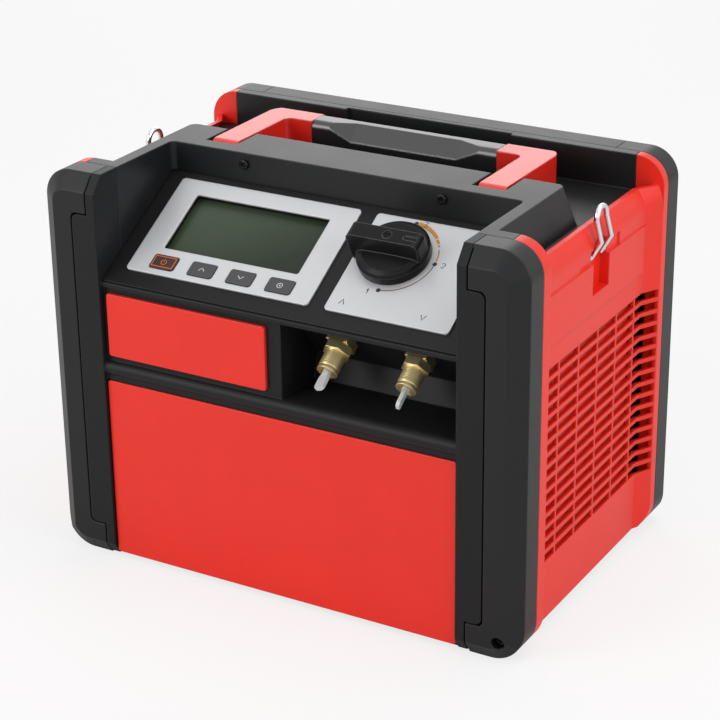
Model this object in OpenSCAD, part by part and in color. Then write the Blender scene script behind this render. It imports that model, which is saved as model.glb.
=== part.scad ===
// Refrigerant recovery machine: a carried case with a sloped console, louvred sides and a folding handle.
// +X right, +Y back, +Z up, millimetres. Origin: middle of the footprint, on the floor.

/* [Case] */
// Overall width across the bumpers
width = 400; // [390:1:430]
// Overall depth from front face to rear face
depth = 274; // [268:1:300]
// Overall height of the case with the handle down
height = 312; // [306:1:330]
// Radius of the upper outer corners
corner_r_top = 23; // [19:1:27]
// Radius of the lower outer corners
corner_r_bottom = 25; // [20:1:30]
// Width of each front post, from the side of the case to the console
post_w = 50.5; // [48:0.5:53]
// Depth of a corner bumper
bumper_depth = 29.5; // [27:0.5:32]
// Thickness of a bumper's face
bumper_face_t = 12; // [10:0.5:13]
// Thickness of a bumper's outer rim
bumper_rim_t = 14; // [12:0.5:16]
// Wall of the mouldings
wall = 3; // [2.5:0.1:3.5]
// Gap at the seams between mouldings
seam = 0.4; // [0.3:0.05:0.6]

/* [Bevel of the bumpers] */
// Distance of the upright ridge from the side of the case
ridge_in = 12.8; // [11:0.2:15]
// Distance of the upper ridge from the top of the case
ridge_down = 12.6; // [11:0.2:15]
// Radius of the ridge round the corner
ridge_r = 10.2; // [8:0.2:12]
// Run of the bevel for each millimetre of depth
bevel_slope = 1.22; // [1.1:0.02:1.4]
// Height of the bevel along the bottom edge
bottom_bevel_h = 11.5; // [8:0.5:14]
// Depth of the bevel along the bottom edge
bottom_bevel_d = 7.6; // [6:0.2:9]

/* [Front] */
// Setback of the red panels behind the posts
panel_setback = 3; // [2:0.5:4]
// Bottom of the lower front panel
door_bottom = 5; // [4:0.5:8]
// Height of the ledge between the lower front panel and the recess
ledge_h = 16; // [13:0.5:20]
// Height of the connection recess
recess_h = 60; // [57:0.5:63]
// Height of the lip between the recess and the console
lip_h = 5; // [3:0.5:8]
// Left side of the connection recess
recess_left = 5; // [0:1:15]
// Height of the label plate
label_h = 50; // [40:1:52]
// Distance from the middle of the machine to the inlet fitting
inlet_x = 38; // [34:1:46]
// Distance between the two fittings
fitting_pitch = 64.3; // [56:0.1:68]
// Angle at which the fittings point down
fitting_tilt = 35; // [30:1:38]
// Outer diameter of the flare thread
thread_d = 15.9; // [11.1:0.1:16.4]
// Width across the flats of a fitting's hexagon
hex_af = 19; // [19:0.5:22]

/* [Console] */
// Slope of the console
console_tilt = 30; // [27:1:32]
// Drop of the console's front edge below the top of the case
console_drop = 80; // [77:0.5:82]
// Length of the console up its slope
console_l = 114; // [112:0.5:116]
// Thickness of the console bed
bed_t = 4; // [3:0.5:5]
// Thickness of the silver plates
plate_t = 1.6; // [1.2:0.1:2]
// Width of the display bezel
bezel_w = 157; // [150:1:160]
// Height of both plates up the slope
plate_h = 93; // [92:0.5:95]
// Width of the display window
window_w = 119; // [110:1:122]
// Height of the display window
window_h = 56.5; // [50:0.5:58]
// Width of a key
key_w = 21; // [18:0.5:24]
// Height of a key
key_h = 12.6; // [10:0.2:13]
// Distance from key to key
key_pitch = 33.5; // [30:0.5:34]
// Travel of a key
key_travel = 0.5; // [0.3:0.1:0.6]
// Diameter of the selector knob's skirt
knob_d = 55; // [50:0.5:58]
// Height of the selector knob
knob_h = 23; // [20:0.5:26]
// Diameter of the selector's stem
stem_d = 10; // [8:0.5:11]

/* [Top and handle] */
// Front edge of the deck, from the front of the case
deck_front = 103; // [102.5:0.5:105]
// Rear edge of the deck, from the front of the case
deck_rear = 147.5; // [146:0.5:149]
// Half width of the deck
deck_half = 158; // [156:0.5:160]
// Depth of the trough under the handle
trough_d = 28; // [27:0.5:30]
// Width of a handle arm
arm_w = 22; // [18:0.5:24]
// Thickness of the handle
arm_t = 22.4; // [20:0.2:23]
// Distance between the outer sides of the two arms
handle_w = 250; // [240:1:260]
// Length of the black grip
grip_l = 162; // [140:1:170]
// Handle hinge, from the front of the case
hinge_y = 131.5; // [130:0.5:133]
// Distance from the grip bar to the rear wall of the trough
handle_gap = 18.2; // [16:0.1:24]
// Diameter of the hinge pins
hinge_d = 8; // [6:0.5:9]

/* [Sides] */
// How far the side wall lies behind the rim
side_recess = 8; // [6:0.5:9]
// Radius of the round shoulder of a side panel
shoulder_r = 32; // [26:1:36]
// Thickness of the side wall
side_t = 3.5; // [3:0.1:4]
// Depth of the front rim of a side panel
rim_d = 11; // [9:0.5:12]
// Number of louvre rows
rows = 16; // [12:1:18]
// Distance from row to row
row_pitch = 9.7; // [9.4:0.1:9.8]
// Number of louvre columns
columns = 6; // [5:1:6]
// Length of the last louvre column, which runs round the bend
last_column = 27.2; // [24:0.2:30]
// Height of the lowest louvre edge
grille_z = 54; // [50:1:58]
// Thickness of the bars between the louvres
bar_t = 3.2; // [2.8:0.1:3.6]
// Wire of the strap loops
wire_d = 4; // [3:0.2:4.4]
// Inner width of a strap loop
loop_w = 13; // [12:0.5:15]
// Depth of the pocket that the loop folds into
pocket_d = 7; // [6.5:0.1:7.5]

/* [Machinery] */
// Diameter of the motor
motor_d = 104; // [96:1:110]
// Diameter of the compressor's crankcase
crankcase_d = 88; // [80:1:92]
// Diameter of a cylinder
cylinder_d = 50; // [44:1:54]
// Side of the square fan frame
fan_side = 150; // [140:1:156]
// Depth of the fan frame
fan_depth = 36; // [32:1:38]
// Thickness of the condenser coil
coil_t = 25; // [20:1:28]
// Diameter of the refrigerant pipes
pipe_d = 8; // [6:0.5:9.5]
// Running clearance of shafts, at the radius
run = 0.05; // [0.03:0.01:0.08]

/* [Hidden] */
$fn = 64;
black = "#333436";
red = "#e23b30";
silver = "#c8c8ca";
brass = "#cfae57";
steel = "#b9bcc0";

half_w = width / 2;
half_d = depth / 2;
console_half = half_w - post_w;
console_z = height - console_drop;
recess_top = console_z - lip_h;
ledge_top = recess_top - recess_h;
door_top = ledge_top - ledge_h;
eps = 0.01;
lap = 1;
big = 1000;

// Distance from the front, and from the rear, as a place along Y
function yf(d) = d - half_d;
function yr(d) = half_d - d;

// Extrudes a drawing in X and Z along Y, and one in Y and Z along X
module along_y(y0, y1) {
    translate([0, y1, 0]) rotate([90, 0, 0]) linear_extrude(y1 - y0) children();
}
module along_x(x0, x1) {
    translate([x0, 0, 0]) rotate([90, 0, 90]) linear_extrude(x1 - x0) children();
}
module box(from, to) {
    translate(from) cube(to - from);
}
module both_sides() {
    children();
    mirror([1, 0, 0]) children();
}
module rounded(w, h, r) {
    square([w - 2 * r, h], center = true);
    square([w, h - 2 * r], center = true);
    for (x = [-1, 1], y = [-1, 1]) translate([x * (w / 2 - r), y * (h / 2 - r)]) circle(r);
}
module between(x0, z0, x1, z1) {
    translate([x0, z0]) square([x1 - x0, z1 - z0]);
}

// Outline of the case from the front, drawn in X and Z
module case_outline(inset = 0) {
    rt = corner_r_top - inset;
    rb = corner_r_bottom - inset;
    hw = half_w - inset;
    zt = height - inset;
    between(-hw, inset + rb, hw, zt - rt);
    between(-hw + rt, zt - rt - eps, hw - rt, zt);
    between(-hw + rb, inset, hw - rb, inset + rb + eps);
    for (x = [-1, 1]) {
        translate([x * (hw - rt), zt - rt]) circle(rt);
        translate([x * (hw - rb), inset + rb]) circle(rb);
    }
}
module case_ring(t, from_x) {
    intersection() {
        difference() {
            case_outline();
            case_outline(t);
        }
        between(from_x, 0, half_w, height);
    }
}

// Area inside an upper right corner, and the space inside one that widens by run from y0 to y1
module corner_area(x, z, r) {
    between(0, 0, x, z - r);
    between(0, 0, x - r, z);
    translate([x - r, z - r]) circle(r);
}
module widening(x, z, r, run, y0, y1) {
    translate([x - r, y0, z - r]) rotate([-90, 0, 0]) cylinder(h = y1 - y0, r1 = r, r2 = r + run);
    linear_extrude(z - r) polygon([[0, y0], [x, y0], [x + run, y1], [0, y1]]);
    along_x(0, x - r) polygon([[y0, 0], [y0, z], [y1, z + run], [y1, 0]]);
}

// Space inside the bevel of the front face, for the right half of the case
ridge_x = half_w - ridge_in;
ridge_z = height - ridge_down;
bevel_run = bevel_slope * bumper_depth;
lower_x = half_w - corner_r_bottom;
module bevel_space() {
    y0 = yf(0);
    y1 = yf(bumper_depth);
    difference() {
        widening(ridge_x, ridge_z, ridge_r, bevel_run, y0, y1);
        along_x(-eps, half_w + eps)
            polygon([[y0 - 1, -1], [y0 - 1, bottom_bevel_h], [y0, bottom_bevel_h], [y0 + bottom_bevel_d, 0],
                [y0 + bottom_bevel_d, -1]]);
        // lower corner, where the bevel runs round
        difference() {
            box([lower_x, y0 - 1, -1], [half_w + 1, y0 + bottom_bevel_d, corner_r_bottom]);
            translate([lower_x, y0, corner_r_bottom]) rotate([-90, 0, 0])
                cylinder(h = bottom_bevel_d, r1 = corner_r_bottom - bottom_bevel_h, r2 = corner_r_bottom);
        }
    }
}

// Stepped seam between a post and its bumper
seam_in = half_w - post_w + 7.2;
seam_out = seam_in + 13.6;
seam_step_top = height - 30;
seam_step_bottom = 28.3;
step_r = 5;
module beyond_seam(gap = 0) {
    difference() {
        between(seam_in + gap, 0, half_w, height);
        between(0, seam_step_bottom - gap + step_r, seam_out + gap, seam_step_top + gap - step_r);
        between(0, seam_step_bottom - gap, seam_out + gap - step_r, seam_step_top + gap);
        for (z = [seam_step_bottom - gap + step_r, seam_step_top + gap - step_r])
            translate([seam_out + gap - step_r, z]) circle(step_r);
    }
}

// Groove that the seam opens into, on the side of the bumper
seam_groove_w = 1.3;
seam_groove_d = 9;
module seam_groove() {
    along_y(yf(-eps), yf(seam_groove_d)) difference() {
        beyond_seam();
        beyond_seam(seam_groove_w);
    }
}

// Bumper screw, in the lower corner of a bumper; the front left one has none
screw_x = half_w - 16.5;
screw_z = 17.2;
screw_d = 10;
screw_sunk = 8;
module bumper_shape(screw = true) {
    difference() {
        intersection() {
            union() {
                along_y(yf(0), yf(bumper_face_t)) intersection() {
                    case_outline();
                    beyond_seam(seam);
                }
                along_y(yf(0), yf(bumper_depth)) case_ring(bumper_rim_t, seam_in + seam);
            }
            bevel_space();
        }
        seam_groove();
        if (screw) translate([screw_x, yf(-eps), screw_z]) rotate([-90, 0, 0]) cylinder(h = screw_sunk, d = screw_d);
    }
}
module bumper_front_right() { color(black) bumper_shape(); }
module bumper_front_left() { color(black) mirror([1, 0, 0]) bumper_shape(false); }
module bumper_rear_right() { color(black) mirror([0, 1, 0]) bumper_shape(); }
module bumper_rear_left() { color(black) mirror([1, 0, 0]) mirror([0, 1, 0]) bumper_shape(); }

// Post strip between the console and the bumper: deep at the top, where the console looks past it
post_foot = 2;
module post_strip(deep_from) {
    intersection() {
        union() {
            along_y(yf(0), yf(bumper_face_t)) difference() {
                between(console_half, post_foot, half_w - ridge_in, height);
                beyond_seam();
            }
            along_y(yf(0), yf(bumper_depth)) between(console_half, deep_from, seam_in, height);
        }
        bevel_space();
    }
}

// Front fascia
backplate_t = 3;
backplate_front = bumper_face_t;
backplate_half = half_w - bumper_rim_t - seam;
seat_front = panel_setback + 3;
lip_front = 3;
nose_r = 6;
fitting_seat_y = 40;
fitting_seat_z = recess_top - 17.4;
recess_slope = tan(fitting_tilt);
recess_break = ledge_top + 18;
recess_floor_y = 50;
function recess_wall_y(z) = fitting_seat_y + (fitting_seat_z - z) * recess_slope;
module recess_profile(grow = 0) {
    slant = grow / cos(fitting_tilt);
    polygon([
        [yf(-1), ledge_top - grow], [yf(recess_floor_y + grow), ledge_top - grow],
        [yf(recess_wall_y(recess_break) + slant), recess_break],
        [yf(recess_wall_y(recess_top + grow) + slant), recess_top + grow], [yf(-1), recess_top + grow]
    ]);
}
fitting_hole_d = thread_d + 1;
module front_fascia() {
    color(black) difference() {
        union() {
            both_sides() post_strip(recess_top);
            // plate behind the panels and the bumpers
            along_y(yf(backplate_front), yf(backplate_front + backplate_t)) difference() {
                between(-backplate_half, corner_r_bottom, backplate_half, recess_top + lip_front);
                between(-console_half + 2 * wall, corner_r_bottom + wall, -recess_left, door_top - 2 * wall);
                between(recess_left, corner_r_bottom + wall, console_half - 2 * wall, door_top - 2 * wall);
            }
            // sill under the lower panel
            along_y(yf(bottom_bevel_d), yf(backplate_front + backplate_t))
                between(-console_half - lap, post_foot, console_half + lap, door_bottom - seam);
            along_y(yf(backplate_front), yf(backplate_front + backplate_t))
                between(-console_half - lap, post_foot, console_half + lap, corner_r_bottom + wall);
            // rounded ledge
            along_x(-console_half - lap, console_half + lap) {
                translate([yf(nose_r + 1), ledge_top - nose_r]) circle(nose_r);
                translate([yf(nose_r + 1), ledge_top - 2 * nose_r])
                    square([backplate_front + backplate_t - nose_r - 1, 2 * nose_r]);
                translate([yf(panel_setback + 1), door_top + seam])
                    square([backplate_front - panel_setback, ledge_top - nose_r - door_top - seam]);
            }
            // lip under the console
            along_x(-console_half - lap, console_half + lap)
                polygon([[yf(lip_front), recess_top], [yf(lip_front), console_z - 2], [yf(lip_front + 2), console_z],
                    [yf(backplate_front + backplate_t), console_z], [yf(backplate_front + backplate_t), recess_top]]);
            // seat of the label
            along_y(yf(seat_front), yf(backplate_front + eps))
                between(-console_half - lap, ledge_top - 1, recess_left, recess_top + eps);
            // walls of the connection recess
            along_x(recess_left - wall, console_half + wall) intersection() {
                recess_profile(wall);
                translate([yf(seat_front), 0]) square([big, height]);
            }
        }
        along_x(recess_left, console_half) recess_profile();
        for (i = [0, 1]) translate([inlet_x + i * fitting_pitch, 0, 0]) fitting_place()
            translate([0, 0, -40]) cylinder(h = 60, d = fitting_hole_d);
        console_place() translate([-console_half, -seam, -bed_t - seam])
            cube([2 * console_half, console_l + 40, big]);
    }
}

// Places: the console's own plane, and a fitting's axis with +Z out of the machine
module console_place() {
    translate([0, yf(4), console_z]) rotate([console_tilt, 0, 0]) children();
}
module fitting_place() {
    translate([0, yf(fitting_seat_y), fitting_seat_z]) rotate([90 + fitting_tilt, 0, 0]) children();
}

// Lower front panel: a shallow tray
panel_t = 3;
panel_r = 8;
panel_half = console_half - 1;
seat_gap = 0.2;
module lower_front_panel() {
    h = door_top - door_bottom;
    color(red) translate([0, 0, (door_top + door_bottom) / 2]) {
        along_y(yf(panel_setback), yf(panel_setback + panel_t)) rounded(2 * panel_half, h, panel_r / 4);
        along_y(yf(panel_setback + panel_t - eps), yf(backplate_front - seat_gap)) difference() {
            rounded(2 * panel_half, h, panel_r / 4);
            square([2 * panel_half - 2 * panel_r, h - 2 * panel_r], center = true);
        }
    }
}

// Label plate on its seat
label_left = -console_half + 4;
label_right = recess_left - 12;
module label_plate() {
    zc = (ledge_top + recess_top) / 2;
    color(red) along_y(yf(panel_setback), yf(seat_front)) translate([(label_left + label_right) / 2, zc])
        rounded(label_right - label_left, label_h, 2);
}

// Rear panel: post strips, a field set back between them, and a strip along the top
rear_field_in = 6;
vent_rows = 6;
vent_w = 90;
vent_h = 5;
vent_pitch = 11;
vent_x = -70;
vent_z = 190;
inlet_hole = [28, 21];
inlet_place = [90, 60];
switch_hole = [27, 20];
switch_place = [42, 60];
module rear_panel() {
    color(black) difference() {
        union() {
            both_sides() mirror([0, 1, 0]) post_strip(height - wall);
            along_y(yr(rear_field_in + wall), yr(rear_field_in))
                between(-console_half - lap, post_foot, console_half + lap, height - ridge_down);
            along_y(yr(bumper_face_t + backplate_t), yr(bumper_face_t))
                both_sides() between(console_half - 2 * wall, corner_r_bottom, backplate_half, height - corner_r_top);
            both_sides() along_y(yr(bumper_face_t + eps), yr(rear_field_in))
                between(console_half - 2 * wall, corner_r_bottom, console_half + lap, height - corner_r_top);
            // strip along the top, with the bevel of the bumpers
            mirror([0, 1, 0]) intersection() {
                both_sides() bevel_space();
                union() {
                    along_y(yf(0), yf(bumper_depth)) between(-console_half, height - wall, console_half, height);
                    along_y(yf(0), yf(rear_field_in + wall))
                        between(-console_half, height - ridge_down - wall, console_half, height);
                }
            }
        }
        translate([0, 0, vent_z]) for (i = [0 : vent_rows - 1])
            along_y(yr(rear_field_in + 2 * wall), yr(0)) translate([vent_x, i * vent_pitch])
                rounded(vent_w, vent_h, vent_h / 2 - eps);
        along_y(yr(rear_field_in + 2 * wall), yr(0)) {
            translate(inlet_place) square(inlet_hole, center = true);
            translate(switch_place) square(switch_hole, center = true);
        }
    }
}

// Mains inlet, seated in the rear panel, and a rocker switch beside it
flange_t = 2;
flange_w = 3;
inlet_depth = 24;
inlet_cavity = 18;
inlet_wall = 2.2;
pin = [2, 4];
pin_gap = 7;
pin_back = 3;
earth_up = 4.5;
live_up = 1;
module rear_insert(place, hole, depth_in) {
    along_y(yr(rear_field_in), yr(rear_field_in - flange_t)) translate(place)
        rounded(hole[0] + 2 * flange_w, hole[1] + 2 * flange_w, flange_t);
    along_y(yr(rear_field_in + depth_in), yr(rear_field_in - eps)) translate(place)
        square(hole - [2 * seam, 2 * seam], center = true);
}
module mains_inlet() {
    color("#1d1d1f") {
        difference() {
            rear_insert(inlet_place, inlet_hole, inlet_depth);
            along_y(yr(rear_field_in + inlet_cavity), yr(0)) translate(inlet_place)
                rounded(inlet_hole[0] - 2 * inlet_wall, inlet_hole[1] - 2 * inlet_wall, flange_t);
        }
        for (i = [-1, 0, 1]) along_y(yr(rear_field_in + inlet_cavity + eps), yr(rear_field_in + pin_back))
            translate(inlet_place + [i * pin_gap, i == 0 ? earth_up : live_up]) square(pin, center = true);
    }
}
rocker = [19, 13];
rocker_gap = 1;
rocker_y = yr(rear_field_in + 2);
rocker_back = 4;
rocker_out = 5.2;
rocker_dip = 1.8;
rocker_tilt = 10;
axle_d = 3;
axle_in = 2;
switch_depth = 22;
switch_cavity = 18;
module switch_frame() {
    color("#1d1d1f") difference() {
        rear_insert(switch_place, switch_hole, switch_depth);
        along_y(yr(rear_field_in + switch_cavity), yr(0)) translate(switch_place)
            square(rocker + [rocker_gap, rocker_gap], center = true);
        rocker_axle(switch_hole[0] / 2, run);
    }
}
module rocker_axle(half, gap = 0) {
    translate([switch_place[0] - half, rocker_y, switch_place[1]]) rotate([0, 90, 0])
        cylinder(h = 2 * half, d = axle_d + 2 * gap);
}
module switch_rocker() {
    h = rocker[1] / 2 - rocker_gap;
    color("#101012") {
        translate([switch_place[0], rocker_y, switch_place[1]]) rotate([rocker_tilt, 0, 0])
            along_x(-rocker[0] / 2, rocker[0] / 2) polygon([
                [-rocker_back, -h], [rocker_out, -h], [rocker_out - rocker_dip, 0], [rocker_out, h], [-rocker_back, h]]);
        rocker_axle(rocker[0] / 2 + axle_in);
    }
}

// Base pan between the bumpers
pan_z = 9;
pan_t = 2;
pan_half = half_w - side_recess - side_t - seam;
pan_lip = 12;
module base_pan() {
    front = yf(rim_back);
    rear = yf(bend_end - seam);
    color(steel) {
        box([-pan_half, front, pan_z], [pan_half, rear, pan_z + pan_t]);
        both_sides() box([pan_half - pan_t, front, pan_z], [pan_half, rear, pan_z + pan_lip]);
        box([seam - console_half, yf(backplate_front + backplate_t + seam), pan_z],
            [console_half - seam, yr(rear_field_in + wall + seam), pan_z + pan_t]);
    }
}

// Side panel: a rim at the front, a recessed louvred wall with a round shoulder, and a bend out to the rear rim
side_x = half_w - side_recess;
side_z = height - side_recess;
side_r = shoulder_r;
side_bottom = 9.5;
side_top = height - 21;
rim_t = 12;
rim_reach = 23;
rim_front = bumper_depth + seam;
side_rear = depth - bumper_depth - seam;
bend_start = side_rear - 24;
bend_end = side_rear - 8;
column_start = rim_front + rim_d + 2;
column_pitch = (bend_end - 1 - last_column - column_start) / (columns - 1);
rib = 2.2;
pad_t = 1.2;
pad_bottom = grille_z + rows * row_pitch + 17;
pad_top = pad_bottom + 38;
blade_run = 9;
blade_rise = 8.5;
blade_t = 1.6;
loop_y = 140;
pivot_z = height - 45;
pocket_w = loop_w + 2 * wire_d + 7;
pocket_bottom = pivot_z - 27;
foot_reach = pocket_w / 2 + wall / 2;
ear_half = 34;
ear_h = 10;
ear_depth = 1.2;
module pocket_shape(grow) {
    between(loop_y - pocket_w / 2 - grow, pocket_bottom - grow, loop_y + pocket_w / 2 + grow, pivot_z);
    translate([loop_y, pivot_z]) circle(pocket_w / 2 + grow);
}
// Area inside the wall, and the space inside it where it widens along the bend
module side_area(inset) {
    corner_area(side_x - inset, side_z - inset, side_r - inset);
}
module bend_space(inset) {
    widening(side_x - inset, side_z - inset, side_r - inset, side_recess, yf(bend_start), yf(bend_end));
}
// Wall of the bend: flat up the side, and a cone round the shoulder
module bend_wall() {
    y0 = yf(bend_start);
    y1 = yf(bend_end);
    l = y1 - y0;
    corner_x = side_x - side_r;
    corner_z = side_z - side_r;
    intersection() {
        linear_extrude(corner_z)
            polygon([[side_x - side_t, y0], [side_x, y0], [half_w, y1], [half_w - side_t, y1]]);
        along_y(y0, y1) intersection() {
            case_outline();
            between(corner_x, side_bottom, half_w, height);
        }
    }
    intersection() {
        translate([corner_x, y0, corner_z]) rotate([-90, 0, 0]) difference() {
            cylinder(h = l, r1 = side_r, r2 = side_r + side_recess);
            cylinder(h = l, r1 = side_r - side_t, r2 = side_r + side_recess - side_t);
        }
        box([corner_x, y0, corner_z], [half_w, y1, side_top]);
    }
}
module side_panel_shape() {
    difference() {
        union() {
            along_y(yf(rim_front), yf(rim_front + rim_d)) case_ring(rim_t, half_w - rim_reach);
            // web between the rim and the shoulder
            along_y(yf(rim_front + rim_d - wall), yf(rim_front + rim_d)) intersection() {
                case_outline();
                between(half_w - rim_reach, side_z - side_r, half_w, height);
            }
            along_y(yf(rim_front + rim_d - wall), yf(bend_start)) intersection() {
                difference() {
                    side_area(0);
                    side_area(side_t);
                }
                between(console_half, side_bottom, half_w, side_top);
            }
            bend_wall();
            // face of the rear corner, and the flange behind it
            along_y(yf(bend_end), yf(bend_end + wall)) intersection() {
                case_outline();
                between(half_w - rim_reach, trough_z, half_w, height);
            }
            along_y(yf(side_rear - wall), yf(side_rear)) intersection() {
                case_outline();
                between(side_x - side_t, side_bottom, half_w, height);
            }
            along_y(yf(bend_end), yf(side_rear)) case_ring(rim_t, half_w - rim_reach);
            // shallow pad above the louvres
            along_x(side_x - eps, side_x + pad_t) polygon([
                [yf(rim_front + rim_d - eps), pad_bottom], [yf(bend_start), pad_bottom],
                [yf(bend_start), pad_top], [yf(rim_front + rim_d - eps), pad_top]
            ]);
            // box behind the pocket
            intersection() {
                along_x(side_x - pocket_d - wall, half_w) translate([yf(0), 0]) pocket_shape(wall);
                along_y(yf(rim_front), yf(bend_start)) side_area(side_t / 2);
            }
            // louvre blades
            for (i = [0 : rows - 1]) translate([0, 0, grille_z + i * row_pitch])
                along_y(yf(rim_front + rim_d - wall), yf(column_start + (columns - 1) * column_pitch)) polygon([
                    [side_x - side_t + eps, 0], [side_x - side_t + eps, blade_t],
                    [side_x - side_t - blade_run, blade_rise + blade_t], [side_x - side_t - blade_run, blade_rise]
                ]);
        }
        for (i = [0 : rows - 1], k = [0 : columns - 1]) {
            z = grille_z + i * row_pitch + bar_t;
            y0 = column_start + k * column_pitch;
            y1 = k == columns - 1 ? bend_end - 1 : y0 + column_pitch - rib;
            box([side_x - side_t - eps, yf(y0), z], [half_w + 1, yf(y1), z + row_pitch - bar_t]);
        }
        along_x(side_x - pocket_d, half_w) translate([yf(0), 0]) pocket_shape(0);
        box([side_x - ear_depth, yf(loop_y - ear_half), pad_top], [half_w, yf(loop_y + ear_half), pad_top + ear_h]);
        translate([side_x - pocket_d / 2, yf(loop_y), pivot_z]) rotate([90, 0, 0])
            cylinder(h = 2 * foot_reach + 1, d = wire_d + 2 * run, center = true);
    }
}
module side_panel_right() { color(red) side_panel_shape(); }
module side_panel_left() { color(red) mirror([1, 0, 0]) side_panel_shape(); }

// Strap loop: a bent wire whose feet turn in the pocket's sides
loop_out = 7.5;
loop_mid = 13;
loop_back = 3.5;
loop_high = 37;
module rod(a, b, d, bulge = 2 * eps) {
    v = b - a;
    l = norm(v);
    translate(a) rotate([0, acos(v[2] / l), atan2(v[1], v[0])]) cylinder(h = l, d = d);
    translate(b) sphere(d = d + bulge);
}
module strap_loop_shape() {
    c = (loop_w + wire_d) / 2;
    top = loop_high - c;
    translate([side_x - pocket_d / 2, yf(loop_y), pivot_z]) {
        for (s = [-1, 1]) {
            rod([0, s * foot_reach, 0], [0, s * c, 0], wire_d);
            rod([0, s * c, 0], [loop_out, s * c, loop_mid], wire_d);
            rod([loop_out, s * c, loop_mid], [loop_back, s * c, top], wire_d);
        }
        translate([loop_back, 0, top]) intersection() {
            rotate([0, 90, 0]) rotate_extrude() translate([c, 0]) circle(d = wire_d);
            translate([-wire_d, -2 * c, 0]) cube([2 * wire_d, 4 * c, 2 * c]);
        }
    }
}
module strap_loop_right() { color(steel) strap_loop_shape(); }
module strap_loop_left() { color(steel) mirror([1, 0, 0]) strap_loop_shape(); }

// Top cover: cheeks beside the console, the deck, and a trough behind it for the handle
trough_z = height - trough_d;
trough_half = side_x - side_t - seam;
cheek_top = deck_half + 2;
cheek_share = 0.43;
cheek_foot = cheek_top + cheek_share * (trough_half - cheek_top);
cover_front = bumper_depth + seam;
rim_back = rim_front + rim_d + seam;
rear_wall_y = bend_end - seam;
handle_reach = rear_wall_y - handle_gap - hinge_y;
cover_reach = half_w - rim_reach - seam;
hand_half = 73;
hand_set = 4;
notch_gap = 2.5;
notch_in = handle_w / 2 - arm_w - notch_gap;
notch_out = handle_w / 2 + notch_gap;
notch_front = hinge_y - 14.5;
hinge_z = height - arm_t / 2;
inner_r = 5;
deck_corner_r = 6;
deck_corner_over = 0.15;
function console_height(y) = console_z + (y - 4) * tan(console_tilt);
// What is taken off the deck's rear corner, along the slope of the cheek
module deck_corner() {
    lean = atan((cheek_foot - cheek_top) / trough_d);
    intersection() {
        translate([cheek_top, yf(deck_rear), height]) rotate([0, -lean, 0]) translate([0, 0, -2 * trough_d])
            linear_extrude(3 * trough_d) difference() {
                translate([-deck_corner_r, -deck_corner_r]) square(deck_corner_r + 1);
                translate([-deck_corner_r, -deck_corner_r]) circle(deck_corner_r + deck_corner_over);
            }
        box([console_half, yf(deck_front), trough_z + deck_corner_over], [half_w, yf(deck_rear + 1), height + 1]);
    }
}
module cheek() {
    along_y(yf(rim_back - eps), yf(deck_rear)) intersection() {
        polygon([
            [console_half, height], [cheek_top, height], [cheek_foot, trough_z], [half_w, trough_z],
            [half_w, trough_z - wall], [cheek_foot - wall / 2, trough_z - wall],
            [cheek_top - wall / 2, height - wall], [console_half, height - wall]
        ]);
        cover_area();
    }
    // inner wall down to the console
    low = bed_t + wall;
    along_x(console_half, console_half + wall) polygon([
        [yf(cover_front), console_height(cover_front) - low], [yf(cover_front), height],
        [yf(deck_front + wall), height], [yf(deck_front + wall), console_height(deck_front) - low]
    ]);
    // bridge from the cheek to the rim of the side panel
    along_y(yf(cover_front), yf(rim_back)) cover_edge(console_half);
    along_y(yf(rim_back - wall), yf(rim_back)) between(console_half, trough_z - wall, cover_reach, height - eps);
}
// Edge of the cover, which follows the rounded corners of the case
module cover_edge(from_x) {
    intersection() {
        difference() {
            case_outline();
            case_outline(wall);
        }
        between(from_x, trough_z, cover_reach, height);
    }
}
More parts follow.
